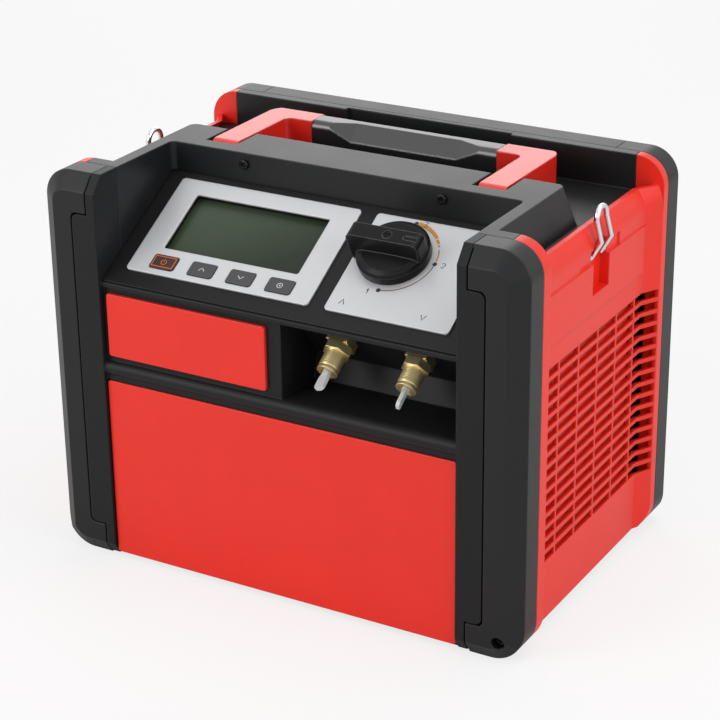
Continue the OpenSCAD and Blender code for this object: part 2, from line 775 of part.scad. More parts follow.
// Area that the cover keeps to: inside the outline, and inside the side panels along the trough
module cover_area() {
    intersection() {
        case_outline();
        between(-cover_reach, 0, cover_reach, height);
    }
    both_sides() side_area(side_t + seam);
}
rest_in = 4;
rest_back = 6;
rest_l = 10;
rest_gap = 0.3;
module top_cover() {
    color(black) difference() {
        union() {
            both_sides() {
                cheek();
                box([notch_in - wall, yf(notch_front - wall), trough_z - wall],
                    [notch_out + wall, yf(deck_rear), height]);
                // rests under the folded handle
                box([handle_w / 2 - arm_w + rest_in, yf(bar_rear - rest_back - rest_l), trough_z - eps],
                    [handle_w / 2 - rest_in, yf(bar_rear - rest_back), height - arm_t - rest_gap]);
                // round corners between the console and the deck
                translate([console_half, yf(deck_front), console_height(deck_front) + seam])
                    linear_extrude(height - console_height(deck_front) - seam) difference() {
                        translate([-inner_r, -inner_r]) square(inner_r + eps);
                        translate([-inner_r, -inner_r]) circle(inner_r);
                    }
                // floor of the trough along the bend of the side panel
                intersection() {
                    bend_space(side_t + seam);
                    box([console_half, yf(bend_start), trough_z - wall], [half_w, yf(rear_wall_y), trough_z]);
                }
            }
            box([-console_half - lap, yf(deck_front), height - wall], [console_half + lap, yf(deck_rear), height]);
            box([-console_half - lap, yf(deck_front), console_height(deck_front) - 2 * wall],
                [console_half + lap, yf(deck_front + wall), height]);
            along_y(yf(deck_rear - wall), yf(deck_rear)) intersection() {
                polygon([
                    [-cheek_top, height], [cheek_top, height], [cheek_foot, trough_z - wall],
                    [-cheek_foot, trough_z - wall]
                ]);
                cover_area();
            }
            // floor and rear wall of the trough
            along_y(yf(deck_rear - wall), yf(bend_start)) intersection() {
                between(-half_w, trough_z - wall, half_w, trough_z);
                cover_area();
            }
            box([-console_half - lap, yf(bend_start - lap), trough_z - wall],
                [console_half + lap, yf(rear_wall_y), trough_z]);
            along_y(yf(rear_wall_y - eps), yf(rear_wall_y + wall)) intersection() {
                case_outline();
                between(-cover_reach, trough_z - wall, cover_reach, height);
            }
            along_y(yf(rear_wall_y), yf(side_rear)) {
                cover_edge(-cover_reach);
                between(-hand_half - wall, trough_z, hand_half + wall, height);
            }
        }
        both_sides() {
            box([notch_in, yf(notch_front), trough_z], [notch_out, yf(deck_rear + 1), height + 1]);
            hinge_bore();
            deck_corner();
            along_x(side_x - pocket_d - wall - seam, half_w) translate([yf(0), 0]) pocket_shape(wall + seam);
        }
        box([-hand_half, yf(rear_wall_y - 1), trough_z + wall], [hand_half, yf(rear_wall_y + hand_set), height + 1]);
    }
}
module hinge_bore() {
    translate([notch_in - wall - 1, yf(hinge_y), hinge_z]) rotate([0, 90, 0])
        cylinder(h = notch_out - notch_in + 2 * wall + 2, d = hinge_d + 2 * run);
}
module hinge_pins() {
    color(steel) both_sides() translate([notch_in - wall, yf(hinge_y), hinge_z]) rotate([0, 90, 0])
        cylinder(h = notch_out - notch_in + 2 * wall, d = hinge_d);
}

// Folding handle: two arms and a bar in one red frame, with the black grip between its ends
arm_front = hinge_y - 11;
bar_rear = hinge_y + handle_reach;
bar_front = bar_rear - arm_w;
outer_r = 13;
crook_r = 7;
edge_r = 6;
end_r = 3;
module handle_plan() {
    hw = handle_w / 2;
    difference() {
        union() {
            between(-hw, yf(arm_front), hw, yf(bar_rear - outer_r));
            between(-hw + outer_r, yf(bar_rear - outer_r - eps), hw - outer_r, yf(bar_rear));
            for (x = [-1, 1]) translate([x * (hw - outer_r), yf(bar_rear - outer_r)]) circle(outer_r);
        }
        between(-hw + arm_w, yf(arm_front - 1), hw - arm_w, yf(bar_front - crook_r));
        between(-hw + arm_w + crook_r, yf(arm_front), hw - arm_w - crook_r, yf(bar_front));
        for (x = [-1, 1]) translate([x * (hw - arm_w - crook_r), yf(bar_front - crook_r)]) circle(crook_r);
    }
}
// Side view: the front end is rounder, so that it turns in the notch
module handle_side() {
    low = height - arm_t;
    between(yf(arm_front + edge_r), low, yf(bar_rear - end_r), height);
    between(yf(arm_front), low + edge_r, yf(arm_front + arm_t), height - edge_r);
    between(yf(bar_rear - arm_t), low + end_r, yf(bar_rear), height - end_r);
    for (z = [low + edge_r, height - edge_r]) translate([yf(arm_front + edge_r), z]) circle(edge_r);
    for (z = [low + end_r, height - end_r]) translate([yf(bar_rear - end_r), z]) circle(end_r);
}
module carry_handle() {
    color(red) difference() {
        intersection() {
            translate([0, 0, height - arm_t]) linear_extrude(arm_t) handle_plan();
            along_x(-handle_w / 2, handle_w / 2) handle_side();
        }
        box([-grip_l / 2, yf(bar_front - arm_w), 0], [grip_l / 2, yf(bar_rear + 1), height + 1]);
        both_sides() hinge_bore();
    }
}
waist_half = 46;
waist_run = 28;
waist_in = 8;
waist_lean = 40;
fingers = 4;
finger_depth = 3;
finger_r = 26;
module handle_grip() {
    pitch = (grip_l - 20) / fingers;
    color("#2b2c2e") difference() {
        along_x(-grip_l / 2, grip_l / 2) translate([yf((bar_front + bar_rear) / 2), hinge_z])
            rounded(arm_w, arm_t, edge_r);
        for (i = [0 : fingers - 1])
            translate([(i - (fingers - 1) / 2) * pitch, yf(bar_front), height - arm_t - finger_r + finger_depth])
                rotate([-90, 0, 0]) cylinder(h = arm_w, r = finger_r);
        // the top narrows towards the middle
        translate([0, yf(bar_front), height]) rotate([-waist_lean, 0, 0]) translate([0, 0, -arm_t])
            linear_extrude(2 * arm_t) polygon([
                [-waist_half - waist_run, 0], [-waist_half, waist_in], [waist_half, waist_in],
                [waist_half + waist_run, 0], [waist_half + waist_run, -arm_w], [-waist_half - waist_run, -arm_w]]);
    }
}

// Console bed and what is set in it
plate_margin = 14.5;
plates_gap = 13.5;
plate_s = 13.8 + plate_h / 2;
bezel_x = -console_half + plate_margin + bezel_w / 2;
valve_left = bezel_x + bezel_w / 2 + plates_gap;
valve_right = console_half - plate_margin;
window_s = 65.8;
keys_s = 25.4;
knob_x = valve_left + 31;
knob_s = 71;
key_gap = 0.5;
key_count = 4;
function key_x(i) = bezel_x + (i - (key_count - 1) / 2) * key_pitch;
module key_holes(grow) {
    for (i = [0 : key_count - 1]) translate([key_x(i), keys_s]) rounded(key_w + 2 * grow, key_h + 2 * grow, 2 + grow);
}
module console_bed() {
    color("#2a2b2d") difference() {
        console_place() difference() {
            translate([-console_half + seam, 0, -bed_t]) cube([2 * (console_half - seam), console_l + 4, bed_t]);
            translate([0, 0, -bed_t - 1]) linear_extrude(bed_t + 2) {
                translate([bezel_x, window_s]) square([window_w, window_h], center = true);
                key_holes(key_gap);
                translate([knob_x, knob_s]) circle(d = stem_d + 1);
            }
        }
        box([-half_w, yf(deck_front - seam), 0], [half_w, yf(depth), height]);
    }
}
module display_bezel() {
    color(silver) console_place() linear_extrude(plate_t) difference() {
        translate([bezel_x, plate_s]) rounded(bezel_w, plate_h, 3);
        translate([bezel_x, window_s]) rounded(window_w - 2, window_h - 2, 2);
        key_holes(key_gap);
    }
}
pane_t = 1.5;
pane_over = 3;
module display_window() {
    color("#c9d6c4", 0.5) console_place() translate([bezel_x, window_s, -bed_t - pane_t]) linear_extrude(pane_t)
        rounded(window_w + 2 * pane_over, window_h + 2 * pane_over, 2);
}
module_t = 9;
module display_module() {
    color("#7d8b70") console_place() translate([bezel_x, window_s, -bed_t - pane_t - module_t]) {
        linear_extrude(module_t) rounded(window_w + 2 * pane_over, window_h + 2 * pane_over, 2);
        translate([0, 0, -2]) linear_extrude(2 + eps) rounded(window_w - 20, window_h - 10, 2);
    }
}
flange_gap = 0.3;
key_flange_t = 1.5;
key_proud = 0.8;
module key_shape(i) {
    console_place() {
        translate([key_x(i), keys_s, -bed_t - flange_gap - eps])
            linear_extrude(bed_t + flange_gap + plate_t + key_proud) rounded(key_w, key_h, 2);
        translate([key_x(i), keys_s, -bed_t - flange_gap - key_flange_t])
            linear_extrude(key_flange_t) rounded(key_w + 2.6, key_h + 2.2, 2);
    }
}
module key_power() { color("#4a3a36") key_shape(0); }
module key_1() { color("#4a4b4e") key_shape(1); }
module key_2() { color("#4a4b4e") key_shape(2); }
module key_3() { color("#4a4b4e") key_shape(3); }
board_t = 1.6;
tact = 6;
module key_board() {
    top = -bed_t - flange_gap - key_flange_t - key_travel - 0.1;
    half = (key_count - 1) / 2 * key_pitch + key_w / 2 + 8;
    color("#2f6b45") console_place() {
        translate([bezel_x, keys_s, top - 1.5 - board_t]) linear_extrude(board_t) square([2 * half, key_h + 4], center = true);
        for (i = [0 : key_count - 1]) translate([key_x(i), keys_s, top - 1.5 - eps])
            linear_extrude(1.5 + eps) square(tact, center = true);
        for (x = [-1, 1]) translate([bezel_x + x * (half - 3), keys_s, top - 1.5 - eps])
            cylinder(h = -bed_t - top + 1.5 + eps, d = 5);
    }
}
module valve_plate() {
    color(silver) console_place() linear_extrude(plate_t) difference() {
        translate([(valve_left + valve_right) / 2, plate_s]) rounded(valve_right - valve_left, plate_h, 3);
        translate([knob_x, knob_s]) circle(d = stem_d + 2 * run);
    }
}
knob_gap = 0.4;
skirt_h = 6;
cap_h = 10;
wing_l = 58;
wing_shift = -3;
wing_foot = 18;
wing_top = 12.5;
wing_r = 4;
dimple_d = 7;
slot = [11, 3.6];
mark_depth = 0.8;
stem_in_knob = 12;
module knob_place() {
    console_place() translate([knob_x, knob_s, plate_t + knob_gap]) children();
}
module selector_knob() {
    r = knob_d / 2;
    color("#1f2022") knob_place() difference() {
        union() {
            rotate_extrude() polygon([[0, 0], [r, 0], [r, skirt_h], [r - 2, skirt_h + 2.5], [r - 5, cap_h], [0, cap_h + 1]]);
            intersection() {
                translate([wing_shift, 0, 0]) linear_extrude(knob_h) rounded(wing_l, wing_foot, wing_r);
                rotate([90, 0, 0]) linear_extrude(wing_foot, center = true) translate([wing_shift, 0])
                    rounded(wing_l, 2 * knob_h, wing_r + 1);
                rotate([90, 0, 90]) linear_extrude(2 * wing_l, center = true) polygon([
                    [-wing_foot / 2, 0], [wing_foot / 2, 0], [wing_top / 2, knob_h], [-wing_top / 2, knob_h]]);
            }
        }
        translate([0, 0, -1]) cylinder(h = stem_in_knob + 1, d = stem_d + 0.04);
        translate([0, 0, knob_h - 2 * mark_depth]) cylinder(h = knob_h, d = dimple_d);
        translate([wing_shift + wing_l / 2 - slot[0] / 2 - 2, 0, knob_h - mark_depth])
            linear_extrude(knob_h) rounded(slot[0], slot[1], slot[1] / 2 - eps);
    }
}
stem_down = 44;
module selector_stem() {
    color(steel) console_place() translate([knob_x, knob_s, -stem_down])
        cylinder(h = stem_down + plate_t + knob_gap + stem_in_knob, d = stem_d);
}

// Valve manifold under the selector, with its two pressure sensors
block_top = 14;
block_h = 38;
block_l = 46;
block_front = knob_s - 23;
block_left = inlet_x - 14;
block_right = inlet_x + fitting_pitch + 14;
sensor_d = 18;
sensor_l = 24;
module valve_manifold() {
    color("#a9adb2") console_place() difference() {
        union() {
            translate([block_left, block_front, -block_top - block_h])
                cube([block_right - block_left, block_l, block_h]);
            translate([knob_x, knob_s, -block_top - eps]) cylinder(h = block_top - bed_t + eps, d = stem_d + 14);
        }
        translate([knob_x, knob_s, -stem_down - 1]) cylinder(h = stem_down, d = stem_d + 2 * run);
    }
}
module pressure_sensors() {
    color(steel) console_place() for (x = [inlet_x + 6, inlet_x + fitting_pitch - 20])
        translate([x, block_front + block_l, -block_top - block_h / 2]) rotate([-90, 0, 0]) {
            cylinder(h = 6, d = sensor_d, $fn = 6);
            translate([0, 0, 6 - eps]) cylinder(h = sensor_l - 6, d = sensor_d - 3);
        }
}

// Flare fittings through the wall of the recess, and their transport plugs
neck_l = 8;
neck_w = 17;
hex_h = 7;
barrel_l = 16;
barrel_end = neck_l + hex_h + barrel_l;
shank_l = 20;
mouth_d = 11;
mouth_l = 6;
bore_d = 6;
bore_in = neck_l + hex_h - 4;
groove_w = 1.2;
groove_d = 14.4;
groove_z = barrel_end - 3.4;
nut_h = 5;
nut_in = 3.4;
module fitting_shape(x) {
    color(brass) translate([x, 0, 0]) fitting_place() difference() {
        union() {
            translate([-neck_w / 2, -neck_w / 2, 0.1]) cube([neck_w, neck_w, neck_l]);
            translate([0, 0, neck_l]) cylinder(h = hex_h, d = hex_af / cos(30), $fn = 6);
            translate([0, 0, -shank_l]) cylinder(h = shank_l + barrel_end, d = thread_d);
            translate([0, 0, -nut_in - nut_h]) cylinder(h = nut_h, d = hex_af / cos(30), $fn = 6);
        }
        translate([0, 0, barrel_end - mouth_l]) cylinder(h = mouth_l + 1, d = mouth_d);
        translate([0, 0, bore_in]) cylinder(h = barrel_l + 5, d = bore_d);
        translate([0, 0, groove_z]) difference() {
            cylinder(h = groove_w, d = thread_d + 1);
            translate([0, 0, -1]) cylinder(h = groove_w + 2, d = groove_d);
        }
    }
}
module inlet_fitting() { fitting_shape(inlet_x); }
module outlet_fitting() { fitting_shape(inlet_x + fitting_pitch); }
tab = [9, 2.6, 14];
module plug_shape(x, turn) {
    out = barrel_end + 1;
    color("#e6e8ea") translate([x, 0, 0]) fitting_place() rotate([0, 0, turn]) {
        translate([0, 0, bore_in + 4]) cylinder(h = out - bore_in - 3, d = bore_d - 2 * run);
        translate([0, 0, out]) rotate([90, 0, 0]) linear_extrude(tab[1], center = true)
            polygon([[-tab[0] / 3, 0], [tab[0] / 3, 0], [tab[0] / 2, 4], [tab[0] / 2, tab[2] - 2],
                [tab[0] / 2 - 2, tab[2]], [2 - tab[0] / 2, tab[2]], [-tab[0] / 2, tab[2] - 2], [-tab[0] / 2, 4]]);
    }
}
module inlet_plug() { plug_shape(inlet_x, 25); }
module outlet_plug() { plug_shape(inlet_x + fitting_pitch, 75); }

// Motor and twin-cylinder compressor on rubber mounts, along X
pan_top = pan_z + pan_t;
mount_h = 18;
mount_d = 22;
machine_z = pan_top + mount_h + 6 + motor_d / 2;
machine_y = yf(depth / 2);
motor_x = -half_w + 50;
motor_l = 128;
crank_l = 78;
foot_t = 6;
module motor() {
    color("#3c4650") {
        translate([motor_x, machine_y, machine_z]) rotate([0, 90, 0]) {
            cylinder(h = motor_l, d = motor_d);
            translate([0, 0, -10]) cylinder(h = 10 + eps, d = motor_d - 16);
        }
        box([motor_x + 10, machine_y - motor_d / 2, pan_top + mount_h],
            [motor_x + motor_l - 4, machine_y + motor_d / 2, pan_top + mount_h + foot_t + 4]);
    }
}
module crankcase() {
    color("#9aa0a6") difference() {
        union() {
            translate([motor_x + motor_l, machine_y, machine_z]) rotate([0, 90, 0]) {
                cylinder(h = crank_l, d = crankcase_d);
                translate([0, 0, crank_l - eps]) cylinder(h = 6, d = crankcase_d - 30);
            }
            box([motor_x + motor_l, machine_y - crankcase_d / 2, pan_top + mount_h],
                [motor_x + motor_l + crank_l, machine_y + crankcase_d / 2, machine_z]);
        }
        for (s = [-1, 1]) translate([crank_x, machine_y, machine_z]) rotate([s * 90, 0, 0])
            translate([0, 0, crankcase_d / 2]) cylinder(h = big, d = cylinder_d + 20);
    }
}
crank_x = motor_x + motor_l + crank_l / 2;
fins = 4;
fin_t = 2.5;
fin_pitch = 7;
cylinder_l = fins * fin_pitch + 2;
module cylinders() {
    color("#b4b8bc") for (s = [-1, 1]) translate([crank_x, machine_y, machine_z]) rotate([s * 90, 0, 0])
        translate([0, 0, crankcase_d / 2]) {
            cylinder(h = cylinder_l, d = cylinder_d);
            for (i = [0 : fins - 1]) translate([0, 0, 3 + i * fin_pitch]) cylinder(h = fin_t, d = cylinder_d + 14);
        }
}
head_t = 16;
head_w = 62;
module cylinder_heads() {
    color("#8f959b") for (s = [-1, 1]) translate([crank_x, machine_y, machine_z]) rotate([s * 90, 0, 0])
        translate([0, 0, crankcase_d / 2 + cylinder_l]) linear_extrude(head_t) rounded(head_w, head_w, 8);
}
module rubber_mounts() {
    color("#1b1b1c") for (x = [motor_x + 28, crank_x], s = [-1, 1])
        translate([x, machine_y + s * (crankcase_d / 2 - mount_d / 2), pan_top]) cylinder(h = mount_h, d = mount_d);
}

// Condenser coil and axial fan behind the right louvres
fan_x = side_x - side_t - blade_run - 1.5 - fan_depth;
fan_z = 118;
coil_x = fan_x - coil_t - 2;
coil_h = fan_side + 8;
coil_fins = 24;
coil_fin_t = 1.2;
coil_plate_t = 1.5;
tube_d = 7;
tube_rows = 6;
module condenser_coil() {
    left = machine_y - fan_side / 2;
    pitch = fan_side / (coil_fins + 1);
    row = coil_h / tube_rows;
    color("#c7c9cb") {
        for (i = [1 : coil_fins]) translate([coil_x, left + i * pitch - coil_fin_t / 2, fan_z - coil_h / 2])
            cube([coil_t, coil_fin_t, coil_h]);
        for (i = [0 : tube_rows - 1], k = [-1, 1])
            translate([coil_x + coil_t / 2 + k * coil_t / 4, left, fan_z - coil_h / 2 + (i + 0.5) * row])
                rotate([-90, 0, 0]) cylinder(h = fan_side, d = tube_d);
        for (y = [left, left + fan_side - coil_plate_t])
            box([coil_x, y, pan_top], [coil_x + coil_t, y + coil_plate_t, fan_z + coil_h / 2]);
    }
}
hub_d = 50;
ring_d = fan_side - 10;
boss_l = 14;
spoke_t = 4;
shaft_d = 6;
module fan_frame() {
    color("#26272a") difference() {
        union() {
            translate([fan_x, machine_y, fan_z]) rotate([90, 0, 90]) {
                linear_extrude(fan_depth) difference() {
                    rounded(fan_side, fan_side, 8);
                    circle(d = ring_d);
                }
                cylinder(h = boss_l, d = hub_d - 4);
                for (a = [45 : 90 : 315]) rotate(a) translate([hub_d / 2 - 6, -3, 0])
                    cube([ring_d / 2 - hub_d / 2 + 9, 6, spoke_t]);
            }
            for (s = [-1, 1]) translate([fan_x, machine_y + s * (fan_side / 2 - 14) - 8, pan_top])
                cube([fan_depth, 16, fan_z - fan_side / 2 - pan_top + eps]);
        }
        translate([fan_x + 3, machine_y, fan_z]) rotate([0, 90, 0]) cylinder(h = fan_depth, d = shaft_d + 2 * run);
    }
}
blades = 7;
blade_pitch = 40;
blade_chord = 24;
module fan_rotor() {
    color("#3a3b3f") translate([fan_x, machine_y, fan_z]) rotate([90, 0, 90]) {
        translate([0, 0, 4]) cylinder(h = boss_l - 3, d = shaft_d);
        translate([0, 0, boss_l + 0.5]) {
            cylinder(h = fan_depth - boss_l - 4, d = hub_d);
            intersection() {
                for (i = [0 : blades - 1]) rotate(i * 360 / blades)
                    translate([hub_d / 2 - 3, 0, (fan_depth - boss_l - 4) / 2]) rotate([blade_pitch, 0, 0])
                        translate([0, -blade_chord / 2, -1]) cube([ring_d / 2, blade_chord, 2]);
                cylinder(h = fan_depth - boss_l - 4, d = ring_d - 4);
            }
        }
    }
}

// Inlet filter, pipes and control board
filter_d = 36;
filter_x = -half_w + 70;
filter_y = depth - 54;
filter_l = 96;
filter_neck_l = 10;
filter_neck_d = 14;
module inlet_filter() {
    color("#b08d3f") translate([filter_x, yf(filter_y), pan_top]) {
        cylinder(h = filter_l, d = filter_d);
        translate([0, 0, filter_l - eps]) cylinder(h = filter_neck_l, d1 = filter_d, d2 = filter_neck_d);
    }
}
link_l = 7.8;
joint_gap = 0.4;
solder = 0.6;
drop_l = 14;
bend_up = 24;
function console_point(s, n) = [
    0, yf(4) + s * cos(console_tilt) - n * sin(console_tilt), console_z + s * sin(console_tilt) + n * cos(console_tilt)
];
module run_pipe(points) {
    for (i = [0 : len(points) - 2]) rod(points[i], points[i + 1], pipe_d, solder);
}
module pipes() {
    s = sin(console_tilt);
    c = cos(console_tilt);
    n = block_top + block_h;
    under = console_point(block_front + block_l / 2, -n);
    head_y = crankcase_d / 2 + cylinder_l + head_t / 2;
    head_top = machine_z + head_w / 2;
    color("#b5713c") {
        // manifold to the two heads
        for (k = [0, 1]) {
            x = (block_left + block_right) / 2 + (k * 2 - 1) * block_l / 2;
            y = machine_y + (k * 2 - 1) * head_y;
            foot = [crank_x, y, head_top];
            bend_z = head_top + bend_up;
            a = under + [x, s * joint_gap, -c * joint_gap];
            b = under + [x, s * drop_l, -c * drop_l];
            run_pipe([a, b, [x, b[1], bend_z], [x, y, bend_z], [crank_x, y, bend_z],
                foot + [0, 0, joint_gap + pipe_d / 2]]);
        }
        // filter to the manifold's side
        side = console_point(knob_s, -block_top - block_h / 2);
        port_z = pan_top + filter_l + filter_neck_l + joint_gap + pipe_d / 2;
        run_pipe([[filter_x, yf(filter_y), port_z], [filter_x, yf(filter_y), side[2]],
            [filter_x, side[1], side[2]], [block_left - joint_gap - pipe_d / 2, side[1], side[2]]]);
        // fittings to the manifold's front
        for (i = [0, 1]) translate([inlet_x + i * fitting_pitch, 0, 0]) fitting_place()
            translate([0, 0, -shank_l - link_l]) cylinder(h = link_l - joint_gap, d = pipe_d);
    }
}
board_w = 120;
board_h = 105;
board_left = -130;
board_z = 60;
standoff_l = 6.4;
standoff_d = 6;
standoff_in = 6;
coil_box = [34, 22, 34];
can_d = 11;
can_l = 18;
can_pitch = 14;
module control_board() {
    y = rear_field_in + wall;
    face = y + standoff_l + board_t;
    color("#2f6b45") {
        box([board_left, yr(face), board_z], [board_left + board_w, yr(y + standoff_l), board_z + board_h]);
        for (x = [standoff_in, board_w - standoff_in], z = [standoff_in, board_h - standoff_in])
            translate([board_left + x, yr(y), board_z + z]) rotate([90, 0, 0]) cylinder(h = standoff_l + eps, d = standoff_d);
        // transformer, and a row of capacitors
        translate([board_left + board_w / 6, yr(face + coil_box[1]), board_z + board_h / 6]) cube(coil_box + [0, eps, 0]);
        for (i = [0 : 2]) translate([board_left + board_w * 2 / 3 + i * can_pitch, yr(face - eps), board_z + board_h / 3])
            rotate([90, 0, 0]) cylinder(h = can_l, d = can_d);
    }
}

bumper_front_left();
bumper_front_right();
bumper_rear_left();
bumper_rear_right();
front_fascia();
lower_front_panel();
label_plate();
rear_panel();
base_pan();
side_panel_left();
side_panel_right();
top_cover();
console_bed();
display_bezel();
display_window();
display_module();
key_board();
key_power();
key_1();
key_2();
key_3();
valve_plate();
selector_knob();
selector_stem();
valve_manifold();
pressure_sensors();
inlet_fitting();
outlet_fitting();
inlet_plug();
outlet_plug();
carry_handle();
handle_grip();
hinge_pins();
strap_loop_left();
strap_loop_right();
motor();
crankcase();
cylinders();
cylinder_heads();
rubber_mounts();
condenser_coil();
fan_frame();
fan_rotor();
inlet_filter();
pipes();
control_board();
mains_inlet();
switch_frame();
switch_rocker();
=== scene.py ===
# %% [markdown]
# # A refrigerant recovery machine, dressed for its picture
# The solids of the machine come in as a fixed frame, in metres, standing on the floor.
# This lesson gives each of them a finish and adds the small things that solids leave out:
# screws, threads and printed marks.

# %% Load the frame
import math

import bmesh
import bpy
from mathutils import Matrix, Vector


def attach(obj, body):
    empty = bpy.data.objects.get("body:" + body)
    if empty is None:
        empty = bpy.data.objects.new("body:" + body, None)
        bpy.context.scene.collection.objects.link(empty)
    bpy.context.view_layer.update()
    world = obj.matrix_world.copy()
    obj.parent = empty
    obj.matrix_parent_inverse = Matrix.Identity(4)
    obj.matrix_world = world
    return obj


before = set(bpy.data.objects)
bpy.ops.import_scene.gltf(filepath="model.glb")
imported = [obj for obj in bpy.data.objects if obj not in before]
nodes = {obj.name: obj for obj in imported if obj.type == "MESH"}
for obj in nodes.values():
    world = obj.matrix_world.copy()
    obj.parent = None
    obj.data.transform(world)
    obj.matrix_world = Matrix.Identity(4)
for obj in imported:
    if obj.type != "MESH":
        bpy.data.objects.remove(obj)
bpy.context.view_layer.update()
MM = 0.001

# %% [markdown]
# ## The camera
# The picture looks down on the front right corner from about a metre and a half away.
# A camera matrix has four columns: right, up, back and place. Writing them out keeps the view exact,
# where a pointing constraint would lose the slight tilt of the picture.

# %% Camera
camera_place = Vector((777.8, -1346.7, 821.3)) * MM
back = Vector((0.46137, -0.79302, 0.39779)).normalized()
level = Vector((0.86435, 0.50287, 0.0)).normalized()
upward = back.cross(level)
camera_roll = 0.01309
right = (level - camera_roll * upward).normalized()
up = (upward + camera_roll * level).normalized()
camera_data = bpy.data.cameras.new("picture_camera")
camera_data.sensor_width = 36.0
camera_data.lens = 109.4
camera_data.clip_end = 20.0
camera = bpy.data.objects.new("picture_camera", camera_data)
camera.matrix_world = Matrix((
    (right.x, up.x, back.x, camera_place.x),
    (right.y, up.y, back.y, camera_place.y),
    (right.z, up.z, back.z, camera_place.z),
    (0.0, 0.0, 0.0, 1.0),
))
scene = bpy.context.scene
scene.collection.objects.link(camera)
scene.camera = camera
scene.view_settings.view_transform = "Standard"
print("camera at", [round(v, 3) for v in camera_place])

# %% [markdown]
# ## Light and floor
# A light tent gives soft light from everywhere. The world is white to the camera, to reflections
# and through clear plastic, and dimmer as a light source, so a colour renders about as it is written.
# A panel behind the machine stands where the flat tops mirror it: seen so low, even black plastic
# turns pale grey on top, and that sheen tells the eye how the case is folded.

# %% World
world = bpy.data.worlds.new("light_tent")
world.use_nodes = True
scene.world = world
tent = world.node_tree
tent.nodes.clear()
tent_out = tent.nodes.new("ShaderNodeOutputWorld")
tent_path = tent.nodes.new("ShaderNodeLightPath")
tent_glossy = tent.nodes.new("ShaderNodeMath")
tent_glossy.operation = "MAXIMUM"
tent_seen = tent.nodes.new("ShaderNodeMath")
tent_seen.operation = "MAXIMUM"
tent_mix = tent.nodes.new("ShaderNodeMixShader")
tent_light = tent.nodes.new("ShaderNodeBackground")
tent_light.inputs["Color"].default_value = (1.0, 1.0, 1.0, 1.0)
tent_light.inputs["Strength"].default_value = 0.42
tent_white = tent.nodes.new("ShaderNodeBackground")
tent_white.inputs["Color"].default_value = (1.0, 1.0, 1.0, 1.0)
tent_white.inputs["Strength"].default_value = 1.0
tent.links.new(tent_path.outputs["Is Camera Ray"], tent_glossy.inputs[0])
tent.links.new(tent_path.outputs["Is Glossy Ray"], tent_glossy.inputs[1])
tent.links.new(tent_glossy.outputs[0], tent_seen.inputs[0])
tent.links.new(tent_path.outputs["Is Transmission Ray"], tent_seen.inputs[1])
tent.links.new(tent_seen.outputs[0], tent_mix.inputs[0])
tent.links.new(tent_light.outputs[0], tent_mix.inputs[1])
tent.links.new(tent_white.outputs[0], tent_mix.inputs[2])
tent.links.new(tent_mix.outputs[0], tent_out.inputs["Surface"])


# %% Lamps
def soft_lamp(name, place, aim, size, power):
    """A square area lamp at place, facing aim, both in metres."""
    data = bpy.data.lights.new(name, "AREA")
    data.shape = "SQUARE"
    data.size = size
    data.energy = power
    lamp = bpy.data.objects.new(name, data)
    lamp.location = place
    lamp.rotation_mode = "QUATERNION"
    lamp.rotation_quaternion = (Vector(aim) - Vector(place)).to_track_quat("-Z", "Y")
    scene.collection.objects.link(lamp)
    return lamp


middle = (0.0, 0.0, 0.16)
lamps = [
    soft_lamp("top_panel", (0.5, 0.3, 2.0), middle, 1.4, 12.0),
    soft_lamp("front_panel", (-1.2, -1.9, 1.2), middle, 1.4, 25.0),
    soft_lamp("side_panel", (2.1, -0.3, 1.1), middle, 1.3, 17.0),
    soft_lamp("back_panel", (-1.15, 1.98, 1.15), middle, 1.5, 9.0),
]
print("lamps:", [(lamp.name, lamp.data.energy) for lamp in lamps])

# %% Floor
floor_mesh = bpy.data.meshes.new("floor")
floor_half = 6.0
floor_corners = [(x * floor_half, y * floor_half, 0.0) for x, y in ((-1, -1), (1, -1), (1, 1), (-1, 1))]
floor_mesh.from_pydata(floor_corners, [], [(0, 1, 2, 3)])
floor = bpy.data.objects.new("floor", floor_mesh)
scene.collection.objects.link(floor)
floor_paint = bpy.data.materials.new("floor_paint")
floor_paint.use_nodes = True
floor_tree = floor_paint.node_tree
floor_shader = floor_tree.nodes["Principled BSDF"]
floor_shader.inputs["Base Color"].default_value = (0.86, 0.86, 0.86, 1.0)
floor_shader.inputs["Roughness"].default_value = 0.9
floor_glow = floor_tree.nodes.new("ShaderNodeEmission")
floor_glow.inputs["Strength"].default_value = 1.0
floor_path = floor_tree.nodes.new("ShaderNodeLightPath")
floor_part = floor_tree.nodes.new("ShaderNodeMath")
floor_part.operation = "MULTIPLY"
floor_glow_share = 0.75
floor_part.inputs[1].default_value = floor_glow_share
floor_mix = floor_tree.nodes.new("ShaderNodeMixShader")
floor_tree.links.new(floor_path.outputs["Is Camera Ray"], floor_part.inputs[0])
floor_tree.links.new(floor_part.outputs[0], floor_mix.inputs[0])
floor_tree.links.new(floor_shader.outputs[0], floor_mix.inputs[1])
floor_tree.links.new(floor_glow.outputs[0], floor_mix.inputs[2])
floor_tree.links.new(floor_mix.outputs[0], floor_tree.nodes["Material Output"].inputs["Surface"])
floor_mesh.materials.append(floor_paint)
print("floor side in m:", 2 * floor_half)

# %% [markdown]
# ## Two shared effects
# Moulded plastic shows a fine leathery grain, and its colour drifts a little from place to place.
# Its edges are rounded, so they catch the light. Their colour turns paler there: partly wear from handling,
# partly a painted highlight.
# Both effects serve many finishes, so each is a node group with named inputs.
# The rounded edge comes from a Bevel node: it bends the shading normal near an edge,
# which is far lighter than bevelling every solid.


# %% Group: moulded grain
def tree_socket(tree, name, kind, value=None, direction="INPUT"):
    """A named input or output of a node tree, with its value at the start."""
    socket = tree.interface.new_socket(name=name, in_out=direction, socket_type=kind)
    if value is not None:
        socket.default_value = value
    return socket


